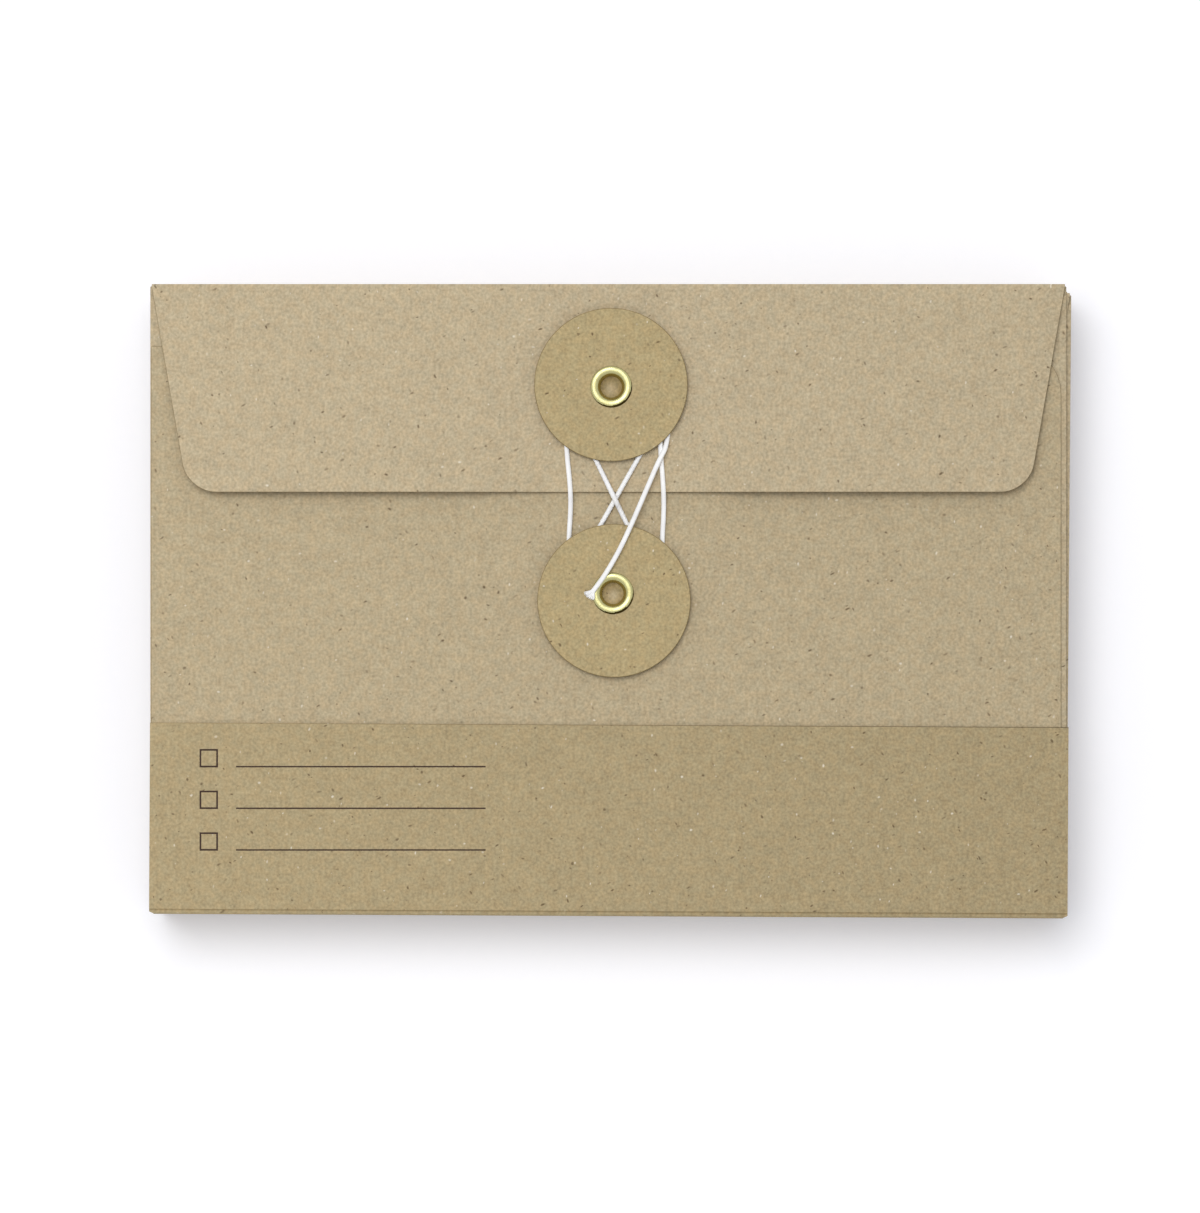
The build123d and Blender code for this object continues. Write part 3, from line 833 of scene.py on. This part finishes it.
def back_and_flap(number):
    """The back, the crease and the flap as one surface."""
    bm = bmesh.new()
    top_half = flap[1].x
    edge_y = flap[0].y
    crease_ends = [(-top_half, CREASE_Y), (top_half, CREASE_Y)]
    corners = [crease_ends[0], (-FLAP_EDGE_HALF, edge_y), (FLAP_EDGE_HALF, edge_y), crease_ends[1]]
    verts = [bm.verts.new((x, y, FLAP_MID_Z)) for x, y in corners]
    bm.faces.new(verts)
    rounded(bm, verts[1:3], FLAP_CORNER, FLAP_CORNER_STEPS)
    cut_across(bm, 0, [top_half * (2 * step / FLAP_COLUMNS - 1) for step in range(1, FLAP_COLUMNS)])
    depth = CREASE_Y - edge_y
    cut_across(bm, 1, [edge_y + depth * step / FLAP_ROWS for step in range(1, FLAP_ROWS)])
    punch(bm, UPPER_BUTTON, EYELET_HOLE)
    for vert in bm.verts:
        vert.co.z += flap_spring(vert.co, number)
    top = edges_along(bm, 1, CREASE_Y)
    crease = folded(bm, top, (0, CREASE_Y, CREASE_Z), (1, 0, 0), -180, CREASE_STEPS)
    widen(crease, back[1].x / top_half)
    mouth = drawn_out(bm, crease, (0, front[1].y + PAPER - CREASE_Y, 0))
    notch = drawn_out(bm, mouth, (0, -PAPER, 0))
    widen(notch, 1 - PAPER / back[1].x)
    drawn_out(bm, notch, (0, back[0].y + FOLD_ROOM - front[1].y, 0))
    curl_sides(bm, number)
    bmesh.ops.recalc_face_normals(bm, faces=bm.faces)
    return bm


for number in range(1, ENVELOPE_COUNT + 1):
    place = envelope_place(number)
    shade_chamfer = EDGE_SHADE_CHAMFER if number == 1 else 0.0
    papers = (kraft, kraft_edge_painted_shade)
    sheet = new_piece(f"envelope_sheet_{number}", back_and_flap(number), place, papers, PAPER, shade_chamfer)
    nodes = (f"back_sheet_{number}", f"flap_{number}")
    if number == 1:
        stand_in(sheet, nodes)
        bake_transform(sheet)
    else:
        stand_in(sheet, nodes, body_of(number))
print("each back and flap has", len(sheet.data.polygons), "faces")

# %% [markdown]
# ## Pocket fronts and side tabs
#
# The pocket's front is turned up from the foot of the back and glued to two side tabs, which are turned
# in from the back's long edges. Both are drawn out from one edge and spun round their fold. The front
# is cut a little narrower than the back, so at the right a strip of the tab shows beside it. There the
# mouth's corner is rounded, and the tabs are cut at a slant, so that nothing catches on them. The front
# has a hole for the lower eyelet.

# %% Pocket fronts and side tabs
FOLD_STEPS = 8
FRONT_MID_Z = (front[0].z + front[1].z) / 2
TAB_MID_Z = (tabs[0].z + tabs[1].z) / 2
BACK_MID_Z = PAPER / 2
TAB_WIDTH = 14.0
TAB_SLANT = 10.0
POCKET_EDGE_LIFT = 0.22
MOUTH_CORNER, MOUTH_CORNER_STEPS = 9.0, 8


def pocket_front(number):
    """The front of the pocket and the fold at its foot."""
    bm = bmesh.new()
    fold_y = back[0].y + FOLD_ROOM
    mouth = first_edge(bm, (front[0].x, front[1].y, FRONT_MID_Z), (front[1].x, front[1].y, FRONT_MID_Z))
    right_end = max(mouth[0].verts, key=lambda vert: vert.co.x)
    foot = drawn_out(bm, mouth, (0, fold_y - front[1].y, 0))
    rounded(bm, [right_end], MOUTH_CORNER, MOUTH_CORNER_STEPS)
    folded(bm, foot, (0, fold_y, (FRONT_MID_Z + BACK_MID_Z) / 2), (1, 0, 0), 180, FOLD_STEPS)
    cut_across(bm, 0, CURL_COLUMNS)
    punch(bm, LOWER_BUTTON, EYELET_HOLE)
    curl_sides(bm, number, POCKET_EDGE_LIFT)
    bmesh.ops.recalc_face_normals(bm, faces=bm.faces)
    return bm


def side_tabs(number):
    """Both side tabs, each with the fold that joins it to the back."""
    bm = bmesh.new()
    fold_x = back[1].x - PAPER
    low_y, high_y = back[0].y + FOLD_ROOM, front[1].y
    for side in (-1, 1):
        inner = side * (back[1].x - TAB_WIDTH)
        edge = first_edge(bm, (inner, low_y, TAB_MID_Z), (inner, high_y, TAB_MID_Z))
        edge = drawn_out(bm, edge, (side * fold_x - inner, 0, 0))
        fold_line = (side * fold_x, 0, (TAB_MID_Z + BACK_MID_Z) / 2)
        folded(bm, edge, fold_line, (0, 1, 0), side * 180, FOLD_STEPS)
    for vert in bm.verts:
        if vert.co.y > high_y - PAPER:
            vert.co.y += TAB_SLANT * (1 - (back[1].x - abs(vert.co.x)) / TAB_WIDTH)
    cut_across(bm, 0, CURL_COLUMNS)
    curl_sides(bm, number)
    bmesh.ops.recalc_face_normals(bm, faces=bm.faces)
    return bm


for number in range(1, ENVELOPE_COUNT + 1):
    place = envelope_place(number)
    shade_chamfer = EDGE_SHADE_CHAMFER if number == 1 else 0.0
    papers = (kraft_pocket_painted_shade, kraft_edge_painted_shade)
    pocket = new_piece(f"pocket_front_{number}", pocket_front(number), place, papers, PAPER, shade_chamfer)
    stand_in(pocket, [f"front_sheet_{number}"], body_of(number))
    wings = new_piece(f"side_tabs_{number}", side_tabs(number), place, (kraft, kraft_edge_painted_shade), PAPER)
    stand_in(wings, [f"fold_tabs_{number}"], body_of(number))
print("pocket front", [round(v, 2) for v in front[0]], [round(v, 2) for v in front[1]])

# %% [markdown]
# ## Discs
#
# Each button is a disc punched from board. Its hole is not quite in the middle, so a rim circle and a
# hole circle are bridged, cut into rings and given thickness. The front pair has a slight warp, which
# catches the light unevenly.

# %% Discs
DISC_SIDES = 96
DISC_RINGS = 5
DISC_WARP = 0.1
DISC_CHAMFER = 0.11


def disc(bm, node, button, warp, phase):
    """Add one board disc to a bmesh, in its place on the envelope."""
    low, high = span(node)
    radius = (high.x - low.x) / 2
    centre = middle(node)
    mid_z = (low.z + high.z) / 2
    rim_place = Matrix.Translation((*centre, mid_z))
    hole_place = Matrix.Translation((*button, mid_z))
    rim = bmesh.ops.create_circle(bm, segments=DISC_SIDES, radius=radius, matrix=rim_place)["verts"]
    hole = bmesh.ops.create_circle(bm, segments=DISC_SIDES, radius=EYELET_HOLE, matrix=hole_place)["verts"]
    # a dict keeps the order of its keys, so that every run makes the same mesh
    loops = list(dict.fromkeys(edge for vert in rim + hole for edge in vert.link_edges))
    faces = bmesh.ops.bridge_loops(bm, edges=loops)["faces"]
    spokes = list(dict.fromkeys(edge for face in faces for edge in face.edges if not edge.is_boundary))
    bmesh.ops.subdivide_edges(bm, edges=spokes, cuts=DISC_RINGS, use_grid_fill=True)
    for vert in bm.verts:
        out = vert.co.xy - centre
        if out.length < radius + PAPER:
            turn = math.atan2(out.y, out.x)
            vert.co.z += warp * (out.length / radius) ** 2 * (0.5 + 0.5 * math.cos(2 * turn + phase))


DISC_BOARD = span("upper_disc_1")[1].z - span("upper_disc_1")[0].z
BUTTONS = {"upper": UPPER_BUTTON, "lower": LOWER_BUTTON}
PHASES = {"upper": 0.6, "lower": 2.4}
board = (disc_board, disc_edge_dull_and_shade)
for name, button in BUTTONS.items():
    bm = bmesh.new()
    disc(bm, f"{name}_disc_1", button, DISC_WARP, PHASES[name])
    bmesh.ops.recalc_face_normals(bm, faces=bm.faces)
    piece = new_piece(f"{name}_board_disc_1", bm, envelope_place(1), board, DISC_BOARD, DISC_CHAMFER)
    stand_in(piece, [f"{name}_disc_1"], f"{name}_disc")
for number in range(2, ENVELOPE_COUNT + 1):
    bm = bmesh.new()
    for name, button in BUTTONS.items():
        disc(bm, f"{name}_disc_1", button, 0.0, 0.0)
    bmesh.ops.recalc_face_normals(bm, faces=bm.faces)
    piece = new_piece(f"board_discs_{number}", bm, envelope_place(number), board, DISC_BOARD)
    stand_in(piece, [f"discs_{number}"], body_of(number))
print("disc board", round(DISC_BOARD, 2), "mm")

# %% [markdown]
# ## Eyelets
#
# An eyelet is a short brass funnel. Its lip is rolled over the disc and its foot is clenched under the
# paper. The section is drawn once as a row of points and spun round the axis. The lip is pressed out a
# touch wider than in the plain frame, and slopes down gently into the bore and steeply to the disc.
# Handling polishes only its crown. The bore is duller brass, tarnished and painted darker as painted
# shade down in it, and a dark crescent along the lower rim is painted shade.

# %% Eyelets
EYELET_BORE = 2.5
FUNNEL_FOOT = 2.05
EYELET_WALL = 0.25
CLENCH_DEPTH = 0.15
CLENCH_REACH = 3.45
LIP_SEAT = 0.2
LIP_RISE = 0.36
LIP_PEAK = 3.3
LIP_SPREAD = 0.15
LIP_POINTS = 16
# how far the painted shade crescent reaches in from the lip, on its lower right side
BORE_EDGE, RIM_SHADE_WIDTH = 0.04, 0.4
SHADED_SIDE = Vector((0.4, -0.92))
EYELET_SIDES = 72
WELD_GAP = 1e-4


def eyelet(bm, node, button):
    """Add one eyelet to a bmesh, in its place on the envelope."""
    low, high = span(node)
    lip = (high.x - low.x) / 2 + LIP_SPREAD
    lip_z = high.z - LIP_SEAT
    outer = EYELET_BORE + EYELET_WALL
    section = [(outer, low.z + CLENCH_DEPTH), (CLENCH_REACH, low.z + CLENCH_DEPTH), (CLENCH_REACH, low.z)]
    section += [(FUNNEL_FOOT, low.z), (FUNNEL_FOOT, low.z + CLENCH_DEPTH), (EYELET_BORE, lip_z)]
    for step in range(1, LIP_POINTS):
        turn = math.pi * step / LIP_POINTS
        reach = LIP_PEAK - EYELET_BORE if turn < math.pi / 2 else lip - LIP_PEAK
        section.append((LIP_PEAK - reach * math.cos(turn), lip_z + LIP_RISE * math.sin(turn)))
    section += [(lip, lip_z), (outer, lip_z)]
    ring = [bm.verts.new((button.x + r, button.y, z)) for r, z in section]
    edges = [bm.edges.new(pair) for pair in zip(ring, ring[1:] + ring[:1])]
    turn = {"cent": (*button, 0), "axis": (0, 0, 1), "angle": math.radians(360), "steps": EYELET_SIDES}
    bmesh.ops.spin(bm, geom=ring + edges, use_merge=True, **turn)
    # faces in the bore take tarnished brass with painted shade, and a crescent on the lip's lower right
    # takes painted shade
    for face in bm.faces:
        out = face.calc_center_median().xy - button
        rim = lip - RIM_SHADE_WIDTH * max(0.0, out.normalized().dot(SHADED_SIDE))
        if out.length < EYELET_BORE + BORE_EDGE:
            face.material_index = 1
        elif rim < out.length < lip + RIM_SHADE_WIDTH:
            face.material_index = 2


def eyelet_piece(name, nodes, number, buttons, body):
    """One node's eyelets as one piece."""
    bm = bmesh.new()
    for node, button in buttons:
        eyelet(bm, node, button)
    bmesh.ops.remove_doubles(bm, verts=bm.verts, dist=WELD_GAP)
    bmesh.ops.recalc_face_normals(bm, faces=bm.faces)
    piece = new_piece(name, bm, envelope_place(number), (brass, brass_bore_tarnish_and_shade, brass_rim_painted_shade))
    stand_in(piece, nodes, body)


UPPER_EYELET, LOWER_EYELET = ("upper_eyelet_1", UPPER_BUTTON), ("lower_eyelet_1", LOWER_BUTTON)
eyelet_piece("upper_brass_eyelet_1", ["upper_eyelet_1"], 1, [UPPER_EYELET], "front_flap")
eyelet_piece("lower_brass_eyelet_1", ["lower_eyelet_1"], 1, [LOWER_EYELET], "envelope_1")
for number in range(2, ENVELOPE_COUNT + 1):
    both = [UPPER_EYELET, LOWER_EYELET]
    eyelet_piece(f"brass_eyelets_{number}", [f"eyelets_{number}"], number, both, body_of(number))
print("each eyelet has", EYELET_SIDES, "sides and", LIP_POINTS, "steps over its lip")

# %% [markdown]
# ## Points along the front string
#
# A string that is wound by hand never lies evenly. The strands that show between the two discs, and the
# tail, are lists of points in millimetres. Where two strands cross, one of them has a point or two more
# at its top.

# %% Points along the front string
STRING_DIAMETER = 0.98
CROSS_UNDER = [
    (8.0, 34.6, 1.5),
    (7.6, 29.6, 1.5),
    (5.0, 24.95, 1.45),
    (2.2, 20.0, 2.1),
    (0.35, 16.7, 1.05),
    (-1.61, 13.23, 1.1),
    (-5.2, 6.9, 1.1),
]
CROSS_OVER = [
    (7.1, 6.35, 1.1),
    (4.15, 12.45, 1.1),
    (2.22, 16.4, 0.98),
    (1.4, 18.1, 2.75),
    (0.45, 20.05, 2.8),
    (-1.9, 24.9, 1.3),
    (-5.1, 31.5, 1.5),
]
RIGHT_STRAND = [
    (9.9, 29.0, 1.4),
    (10.6, 20.8, 2.0),
    (10.7, 16.0, 1.05),
    (10.3, 10.0, 1.1),
]
LEFT_STRAND = [
    (-7.65, 10.6, 1.1),
    (-7.25, 16.0, 1.05),
    (-7.3, 20.8, 2.0),
    (-8.15, 28.4, 1.4),
]
FRONT_TAIL = [
    (11.75, 29.6, 1.2),
    (9.55, 25.4, 3.0),
    (8.05, 21.9, 2.92),
    (6.2, 17.6, 2.88),
    (4.4, 13.4, 2.85),
    (2.25, 8.8, 2.85),
    (0.1, 5.0, 2.9),
    (-1.7, 2.3, 2.95),
    (-3.0, 0.65, 2.8),
]
STRANDS = (CROSS_UNDER, CROSS_OVER, RIGHT_STRAND, LEFT_STRAND, FRONT_TAIL)
print("points on the strands and the tail:", [len(points) for points in STRANDS])

# %% [markdown]
# ## The string's route
#
# The string is tied round the upper eyelet, under its disc. On the front envelope it goes round both
# discs in a figure of eight, then plainly round both, and its tail hangs down over the lower disc. The
# others have one plain turn, whose strands hump over the flap's edge. The turns under the discs are
# worked out by a loop. Together with the strands they are the control points of one smooth NURBS line.

# %% Routes
STRING_LEVEL = 0.5
UPPER_STRING_Z = flap[1].z + STRING_LEVEL
LOWER_STRING_Z = front[1].z + STRING_LEVEL
WIND_UPPER_RADIUS = 7.1
WIND_LOWER_RADIUS = 7.7
INNER_LOWER_RADIUS = 6.9
OUTER_RIGHT_RADIUS = 9.4
OUTER_LEFT_RADIUS = 8.5
LAST_TURN_RADIUS = 11.5
WIND_STEP = 1.65
EDGE_HUMP = 0.4
WIND_CORNER_DEGREES = 60.0
KNOT_RADIUS = 3.35
STEP_PAST_FLAP = 1.0
SPARE_TAIL_LENGTH = 19.0


def turns(button, start, sweep, first_radius, last_radius, z):
    """Control points of a string that is wound round a button."""
    count = math.ceil(abs(sweep) / WIND_CORNER_DEGREES)
    step = sweep / count
    corners = []
    for index in range(count):
        radius = first_radius + (last_radius - first_radius) * (index + 0.5) / count
        reach = radius / math.cos(math.radians(step / 2))
        angle = math.radians(start + step * (index + 0.5))
        corners.append(Vector((button.x + reach * math.cos(angle), button.y + reach * math.sin(angle), z)))
    return corners


def between(start, end, share, z):
    """A point part of the way along a strand, at its own height."""
    return Vector((*start.xy.lerp(end.xy, share), z))


def rim_share(start, end, button, reach):
    """How far along a strand from start it comes out from under a turning disc round a button."""
    run, out = end.xy - start.xy, start.xy - button
    a, b, c = run.dot(run), out.dot(run), out.dot(out) - reach**2
    return (math.sqrt(b * b - a * c) - b) / a


def swept_radius(name):
    """How far a disc's rim reaches from its eyelet as it turns."""
    low, high = span(f"{name}_disc_1")
    return (high.x - low.x) / 2 + (middle(f"{name}_disc_1") - BUTTONS[name]).length


def strand(start, end):
    """Two points that step a strand from the flap down to the pocket, past the flap's edge."""
    from_upper = start.z > end.z
    near, far = (start, end) if from_upper else (end, start)
    high = (near.y - flap[0].y + STEP_PAST_FLAP) / (near.y - far.y)
    low = rim_share(far, near, LOWER_BUTTON, swept_radius("lower"))
    points = [between(near, far, high, UPPER_STRING_Z + EDGE_HUMP), between(far, near, low, LOWER_STRING_Z)]
    return points if from_upper else points[::-1]


def knot():
    """The turn round the upper eyelet that ties the string on."""
    return turns(UPPER_BUTTON, 270, -270, KNOT_RADIUS, WIND_UPPER_RADIUS, UPPER_STRING_Z)


def by_hand(rows):
    """Points that are written out, as vectors."""
    return [Vector(row) for row in rows]


def front_route():
    """A figure of eight, one plain turn round both buttons, and a loose tail."""
    eight = turns(LOWER_BUTTON, 180, 180, INNER_LOWER_RADIUS, INNER_LOWER_RADIUS, LOWER_STRING_Z)
    over = turns(UPPER_BUTTON, 180, -180, WIND_UPPER_RADIUS, OUTER_RIGHT_RADIUS, UPPER_STRING_Z)
    under = turns(LOWER_BUTTON, 0, -180, OUTER_RIGHT_RADIUS, OUTER_LEFT_RADIUS, LOWER_STRING_Z)
    round_top = turns(UPPER_BUTTON, 180, -180, OUTER_LEFT_RADIUS, LAST_TURN_RADIUS, UPPER_STRING_Z)
    route = knot() + by_hand(CROSS_UNDER) + eight + by_hand(CROSS_OVER) + over
    route += by_hand(RIGHT_STRAND) + under + by_hand(LEFT_STRAND)
    return route + round_top + by_hand(FRONT_TAIL)


def spare_route():
    """One plain turn round both buttons, with the tail laid beside the lower one."""
    upper, lower = WIND_UPPER_RADIUS, WIND_LOWER_RADIUS
    start = knot()
    under = turns(LOWER_BUTTON, 0, -180, lower, lower, LOWER_STRING_Z)
    over = turns(UPPER_BUTTON, 180, -180, upper, upper + WIND_STEP, UPPER_STRING_Z)
    tip_x = LOWER_BUTTON.x + WIND_LOWER_RADIUS + WIND_STEP
    tip = Vector((tip_x, LOWER_BUTTON.y - SPARE_TAIL_LENGTH, LOWER_STRING_Z))
    route = start + strand(start[-1], under[0]) + under + strand(under[-1], over[0])
    return route + over + strand(over[-1], tip) + [tip]


print("front route", len(front_route()), "points, spare route", len(spare_route()), "points")

# %% [markdown]
# ## Twisted cotton
#
# The string is three plies twisted together. A small three-lobed outline is carried along points read
# from the smooth line, and each point's tilt turns it a little further, so the lobes wind round as real
# plies do. The points have to lie close together: where the tilt changes by more than a sixth of a turn
# between two of them, the tube pinches.

# %% Twisted cotton
PLY_COUNT = 3
PLY_PITCH = 2.6
PLY_DEPTH_SHARE = 0.09
LOBE_POINTS = 12


def curve_object(name, kind, points, cyclic=False):
    """A curve object with one spline through, or controlled by, some points."""
    curve = bpy.data.curves.new(name, "CURVE")
    curve.dimensions = "3D"
    spline = curve.splines.new(kind)
    spline.points.add(len(points) - 1)
    for point, place in zip(spline.points, points):
        point.co = (*place, 1)
    spline.use_cyclic_u = cyclic
    holder = bpy.data.objects.new(name, curve)
    scene.collection.objects.link(holder)
    return holder, spline


def mesh_of(holder):
    """The mesh of a curve object, which is then taken away."""
    graph = bpy.context.evaluated_depsgraph_get()
    mesh = bpy.data.meshes.new_from_object(holder.evaluated_get(graph))
    curve = holder.data
    bpy.data.objects.remove(holder)
    bpy.data.curves.remove(curve)
    return mesh


def cotton_piece(name, mesh):
    """A smooth cotton object from a mesh."""
    mesh.polygons.foreach_set("use_smooth", [True] * len(mesh.polygons))
    mesh.materials.clear()
    mesh.materials.append(cotton)
    piece = bpy.data.objects.new(name, mesh)
    scene.collection.objects.link(piece)
    return piece


def smooth_line(route, place, steps):
    """Points along the NURBS line that a route controls, in metres in the pack."""
    holder, spline = curve_object("route", "NURBS", [place @ corner for corner in route])
    spline.order_u = 3
    spline.use_endpoint_u = True
    holder.data.resolution_u = steps
    return [vert.co.copy() for vert in mesh_of(holder).vertices]


def ply_outline():
    """The three-lobed outline that is carried along a string."""
    points = []
    for index in range(LOBE_POINTS):
        turn = 2 * math.pi * index / LOBE_POINTS
        lobe = 1 - PLY_DEPTH_SHARE * (0.5 - 0.5 * math.cos(PLY_COUNT * turn))
        reach = STRING_DIAMETER / 2 * MM * lobe
        points.append((reach * math.cos(turn), reach * math.sin(turn), 0))
    return curve_object("ply_outline", "POLY", points, cyclic=True)[0]


def twisted_tube(name, line):
    """A string of twisted plies along a line, and its length."""
    outline = ply_outline()
    holder, spline = curve_object(name, "POLY", line)
    length = 0.0
    for index, point in enumerate(spline.points):
        if index:
            length += (line[index] - line[index - 1]).length
        point.tilt = 2 * math.pi * length / (PLY_PITCH * MM)
    holder.data.bevel_mode = "OBJECT"
    holder.data.bevel_object = outline
    holder.data.use_fill_caps = True
    mesh = mesh_of(holder)
    bpy.data.objects.remove(outline)
    return cotton_piece(name, mesh), length


print(PLY_COUNT, "plies, one turn in", PLY_PITCH, "mm")

# %% [markdown]
# ## The frayed tip
#
# Cut cotton opens at its end. A short fan of loose fibres stands for that: each is a thin tapered curve
# of four points, which starts inside the string. Chance sets its length, its turn and its droop, from a
# fixed seed.

# %% The frayed tip
FRAY_SEED = 11
FRAY_COUNT = 72
FRAY_LENGTH = 1.5
FRAY_SHORTEST, FRAY_LONGEST = 0.75, 1.05
FRAY_SPREAD, FRAY_WOBBLE = 40.0, 5
FRAY_THICKNESS = 0.13
FRAY_TAPER = (1, 1, 0.8, 0.35)
FRAY_ROOT, FRAY_SIDE, FRAY_RISE = 0.5, 0.3, 0.25
FRAY_DROOP, FRAY_LIFT = 0.2, 0.12
FRAY_STEPS = 4


def frayed_tip(line):
    """A short fan of loose fibres at the end of the front string."""
    rng = random.Random(FRAY_SEED)
    ahead = (line[-1] - line[-4]).normalized()
    side = Vector((-ahead.y, ahead.x, 0)).normalized()
    curve = bpy.data.curves.new("frayed_tip", "CURVE")
    curve.dimensions = "3D"
    curve.bevel_depth = FRAY_THICKNESS * MM
    curve.bevel_resolution = 1
    curve.resolution_u = FRAY_STEPS
    for index in range(FRAY_COUNT):
        share = 2 * index / (FRAY_COUNT - 1) - 1
        turn = math.radians(FRAY_SPREAD * share + rng.uniform(-FRAY_WOBBLE, FRAY_WOBBLE))
        heading = ahead * math.cos(turn) + side * math.sin(turn)
        reach = heading * FRAY_LENGTH * MM * rng.uniform(FRAY_SHORTEST, FRAY_LONGEST)
        start = line[-1] + side * share * FRAY_SIDE * MM
        start.z += rng.uniform(-FRAY_RISE, FRAY_RISE) * MM
        droop = Vector((0, 0, rng.uniform(-FRAY_DROOP, FRAY_LIFT) * MM))
        stations = [start - ahead * FRAY_ROOT * MM, start, start + reach / 2, start + reach + droop]
        spline = curve.splines.new("NURBS")
        spline.points.add(len(stations) - 1)
        for point, place, radius in zip(spline.points, stations, FRAY_TAPER):
            point.co = (*place, 1)
            point.radius = radius
        spline.order_u = 3
        spline.use_endpoint_u = True
    holder = bpy.data.objects.new("frayed_tip", curve)
    scene.collection.objects.link(holder)
    return cotton_piece("frayed_tip_1", mesh_of(holder))


print("the tip has", FRAY_COUNT, "loose fibres")

# %% [markdown]
# ## Strings
#
# Each string is a twisted tube along the line that it follows, and its length is measured along that
# line. The front string and its frayed tip move with the flap, each with a mesh of its own, so when
# the flap is opened they come off the lower disc with it.

# %% Strings
FRONT_STEPS, SPARE_STEPS = 22, 44

for number in range(1, ENVELOPE_COUNT + 1):
    spot = envelope_place(number)
    route, steps = (front_route(), FRONT_STEPS) if number == 1 else (spare_route(), SPARE_STEPS)
    line = smooth_line(route, spot, steps)
    tube, length = twisted_tube(f"cotton_string_{number}", line)
    stand_in(tube, [f"string_{number}"], "front_flap" if number == 1 else body_of(number))
    if number == 1:
        tip = frayed_tip(line)
        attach(tip, "front_flap")
        for soft in (tube, tip):
            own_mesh(soft)
    if number < 3:
        print(tube.name, round(length / MM, 1), "mm,", len(tube.data.polygons), "faces")

# %% [markdown]
# ## The band
#
# The band is one strip of paper that is folded round the foot of the pack, with its ends on the front
# and the back. It is drawn out along its path from one edge: down the front, round a fold, down the
# foot, round the next fold and up the back. A scored line runs along the front just above the fold, as
# on any card that is creased by machine. The foot is cut a little narrower, the free edge lifts
# slightly, and a narrow strip along it is painted darker, as painted shade along that edge.

# %% The band
BAND_TWIST = -0.29
BAND_SIDE_SHIFT = -0.2
BAND_OVERHANG = 0.2
BAND_PAPER = 0.25
BAND_HEIGHT = 36.75
# width of the painted shade strip along the band's free edge
BAND_SHADE_STRIP = 0.1
BAND_FOOT_ROOM = 0.85
BAND_FOLD_RADIUS = 1.1
FRONT_BEND = 0.45
FOOT_TAPER = 0.9
SCORE_WIDTH = 0.26
SCORE_DEPTH = 0.3
BAND_EDGE_LIFT = 0.35
BAND_LIFT_DEPTH = 9.0
BAND_LIFT_STEPS = 4
BAND_COLUMNS = 24

band_top_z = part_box("band")[1].z / MM
half = back[1].x + BAND_OVERHANG
foot_y = back[0].y - BAND_FOOT_ROOM + BAND_PAPER / 2
bend = BAND_FOLD_RADIUS - BAND_PAPER / 2
front_z = band_top_z - BAND_PAPER / 2
back_z = BAND_PAPER / 2
edge_y = back[0].y - BAND_FOOT_ROOM + BAND_HEIGHT
bend_y = foot_y + bend

bm = bmesh.new()
rim = first_edge(bm, (-half, edge_y, front_z), (half, edge_y, front_z))
front_bend_y = foot_y + FRONT_BEND
rim = drawn_out(bm, rim, (0, front_bend_y + 2 * SCORE_WIDTH - edge_y, 0))
rim = drawn_out(bm, rim, (0, -SCORE_WIDTH, -SCORE_DEPTH))
rim = drawn_out(bm, rim, (0, -SCORE_WIDTH, SCORE_DEPTH))
rim = folded(bm, rim, (0, front_bend_y, front_z - FRONT_BEND), (1, 0, 0), 90, FOLD_STEPS)
rim = drawn_out(bm, rim, (0, 0, back_z + bend + FRONT_BEND - front_z))
rim = folded(bm, rim, (0, bend_y, back_z + bend), (1, 0, 0), 90, FOLD_STEPS)
rim = drawn_out(bm, rim, (0, edge_y - bend_y, 0))
cut_across(bm, 0, [half * (2 * step / BAND_COLUMNS - 1) for step in range(1, BAND_COLUMNS)])
lift_shares = [step / BAND_LIFT_STEPS for step in range(1, BAND_LIFT_STEPS + 1)]
cut_across(bm, 1, [edge_y - BAND_LIFT_DEPTH * share for share in lift_shares])
cut_across(bm, 1, [edge_y - BAND_SHADE_STRIP])
# painted shade: faces along the free edge take the band's painted shade material
for face in bm.faces:
    if face.calc_center_median().y > edge_y - BAND_SHADE_STRIP:
        face.material_index = 2
for vert in bm.verts:
    vert.co.x *= 1 - FOOT_TAPER / half * (1 - eased(vert.co.y, foot_y, front_bend_y))
    if vert.co.z > front_z - bend:
        vert.co.z += BAND_EDGE_LIFT * eased(vert.co.y, edge_y - BAND_LIFT_DEPTH, edge_y + BAND_LIFT_DEPTH)
bmesh.ops.recalc_face_normals(bm, faces=bm.faces)
band_turn = Matrix.Rotation(math.radians(BAND_TWIST), 4, "Z")
band_place = Matrix.Translation((BAND_SIDE_SHIFT * MM, 0, 0)) @ band_turn @ Matrix.Scale(MM, 4)
band = new_piece("folded_band", bm, band_place, (band_paper, band_edge, band_edge_painted_shade), BAND_PAPER)
stand_in(band, ["band"], "band")
print("band", round(2 * half, 1), "by", BAND_HEIGHT, "mm")

# %% [markdown]
# ## Sizes
#
# The dressed pack has to stay the size of the frame, so both boxes are written down for comparison.

# %% Sizes
look_low, look_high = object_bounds()
boxes = {"cad": [list(cad_low), list(cad_high)], "visual": [list(look_low), list(look_high)]}
for name, (low, high) in boxes.items():
    print(name, [round((b - a) / MM, 2) for a, b in zip(low, high)], "mm")
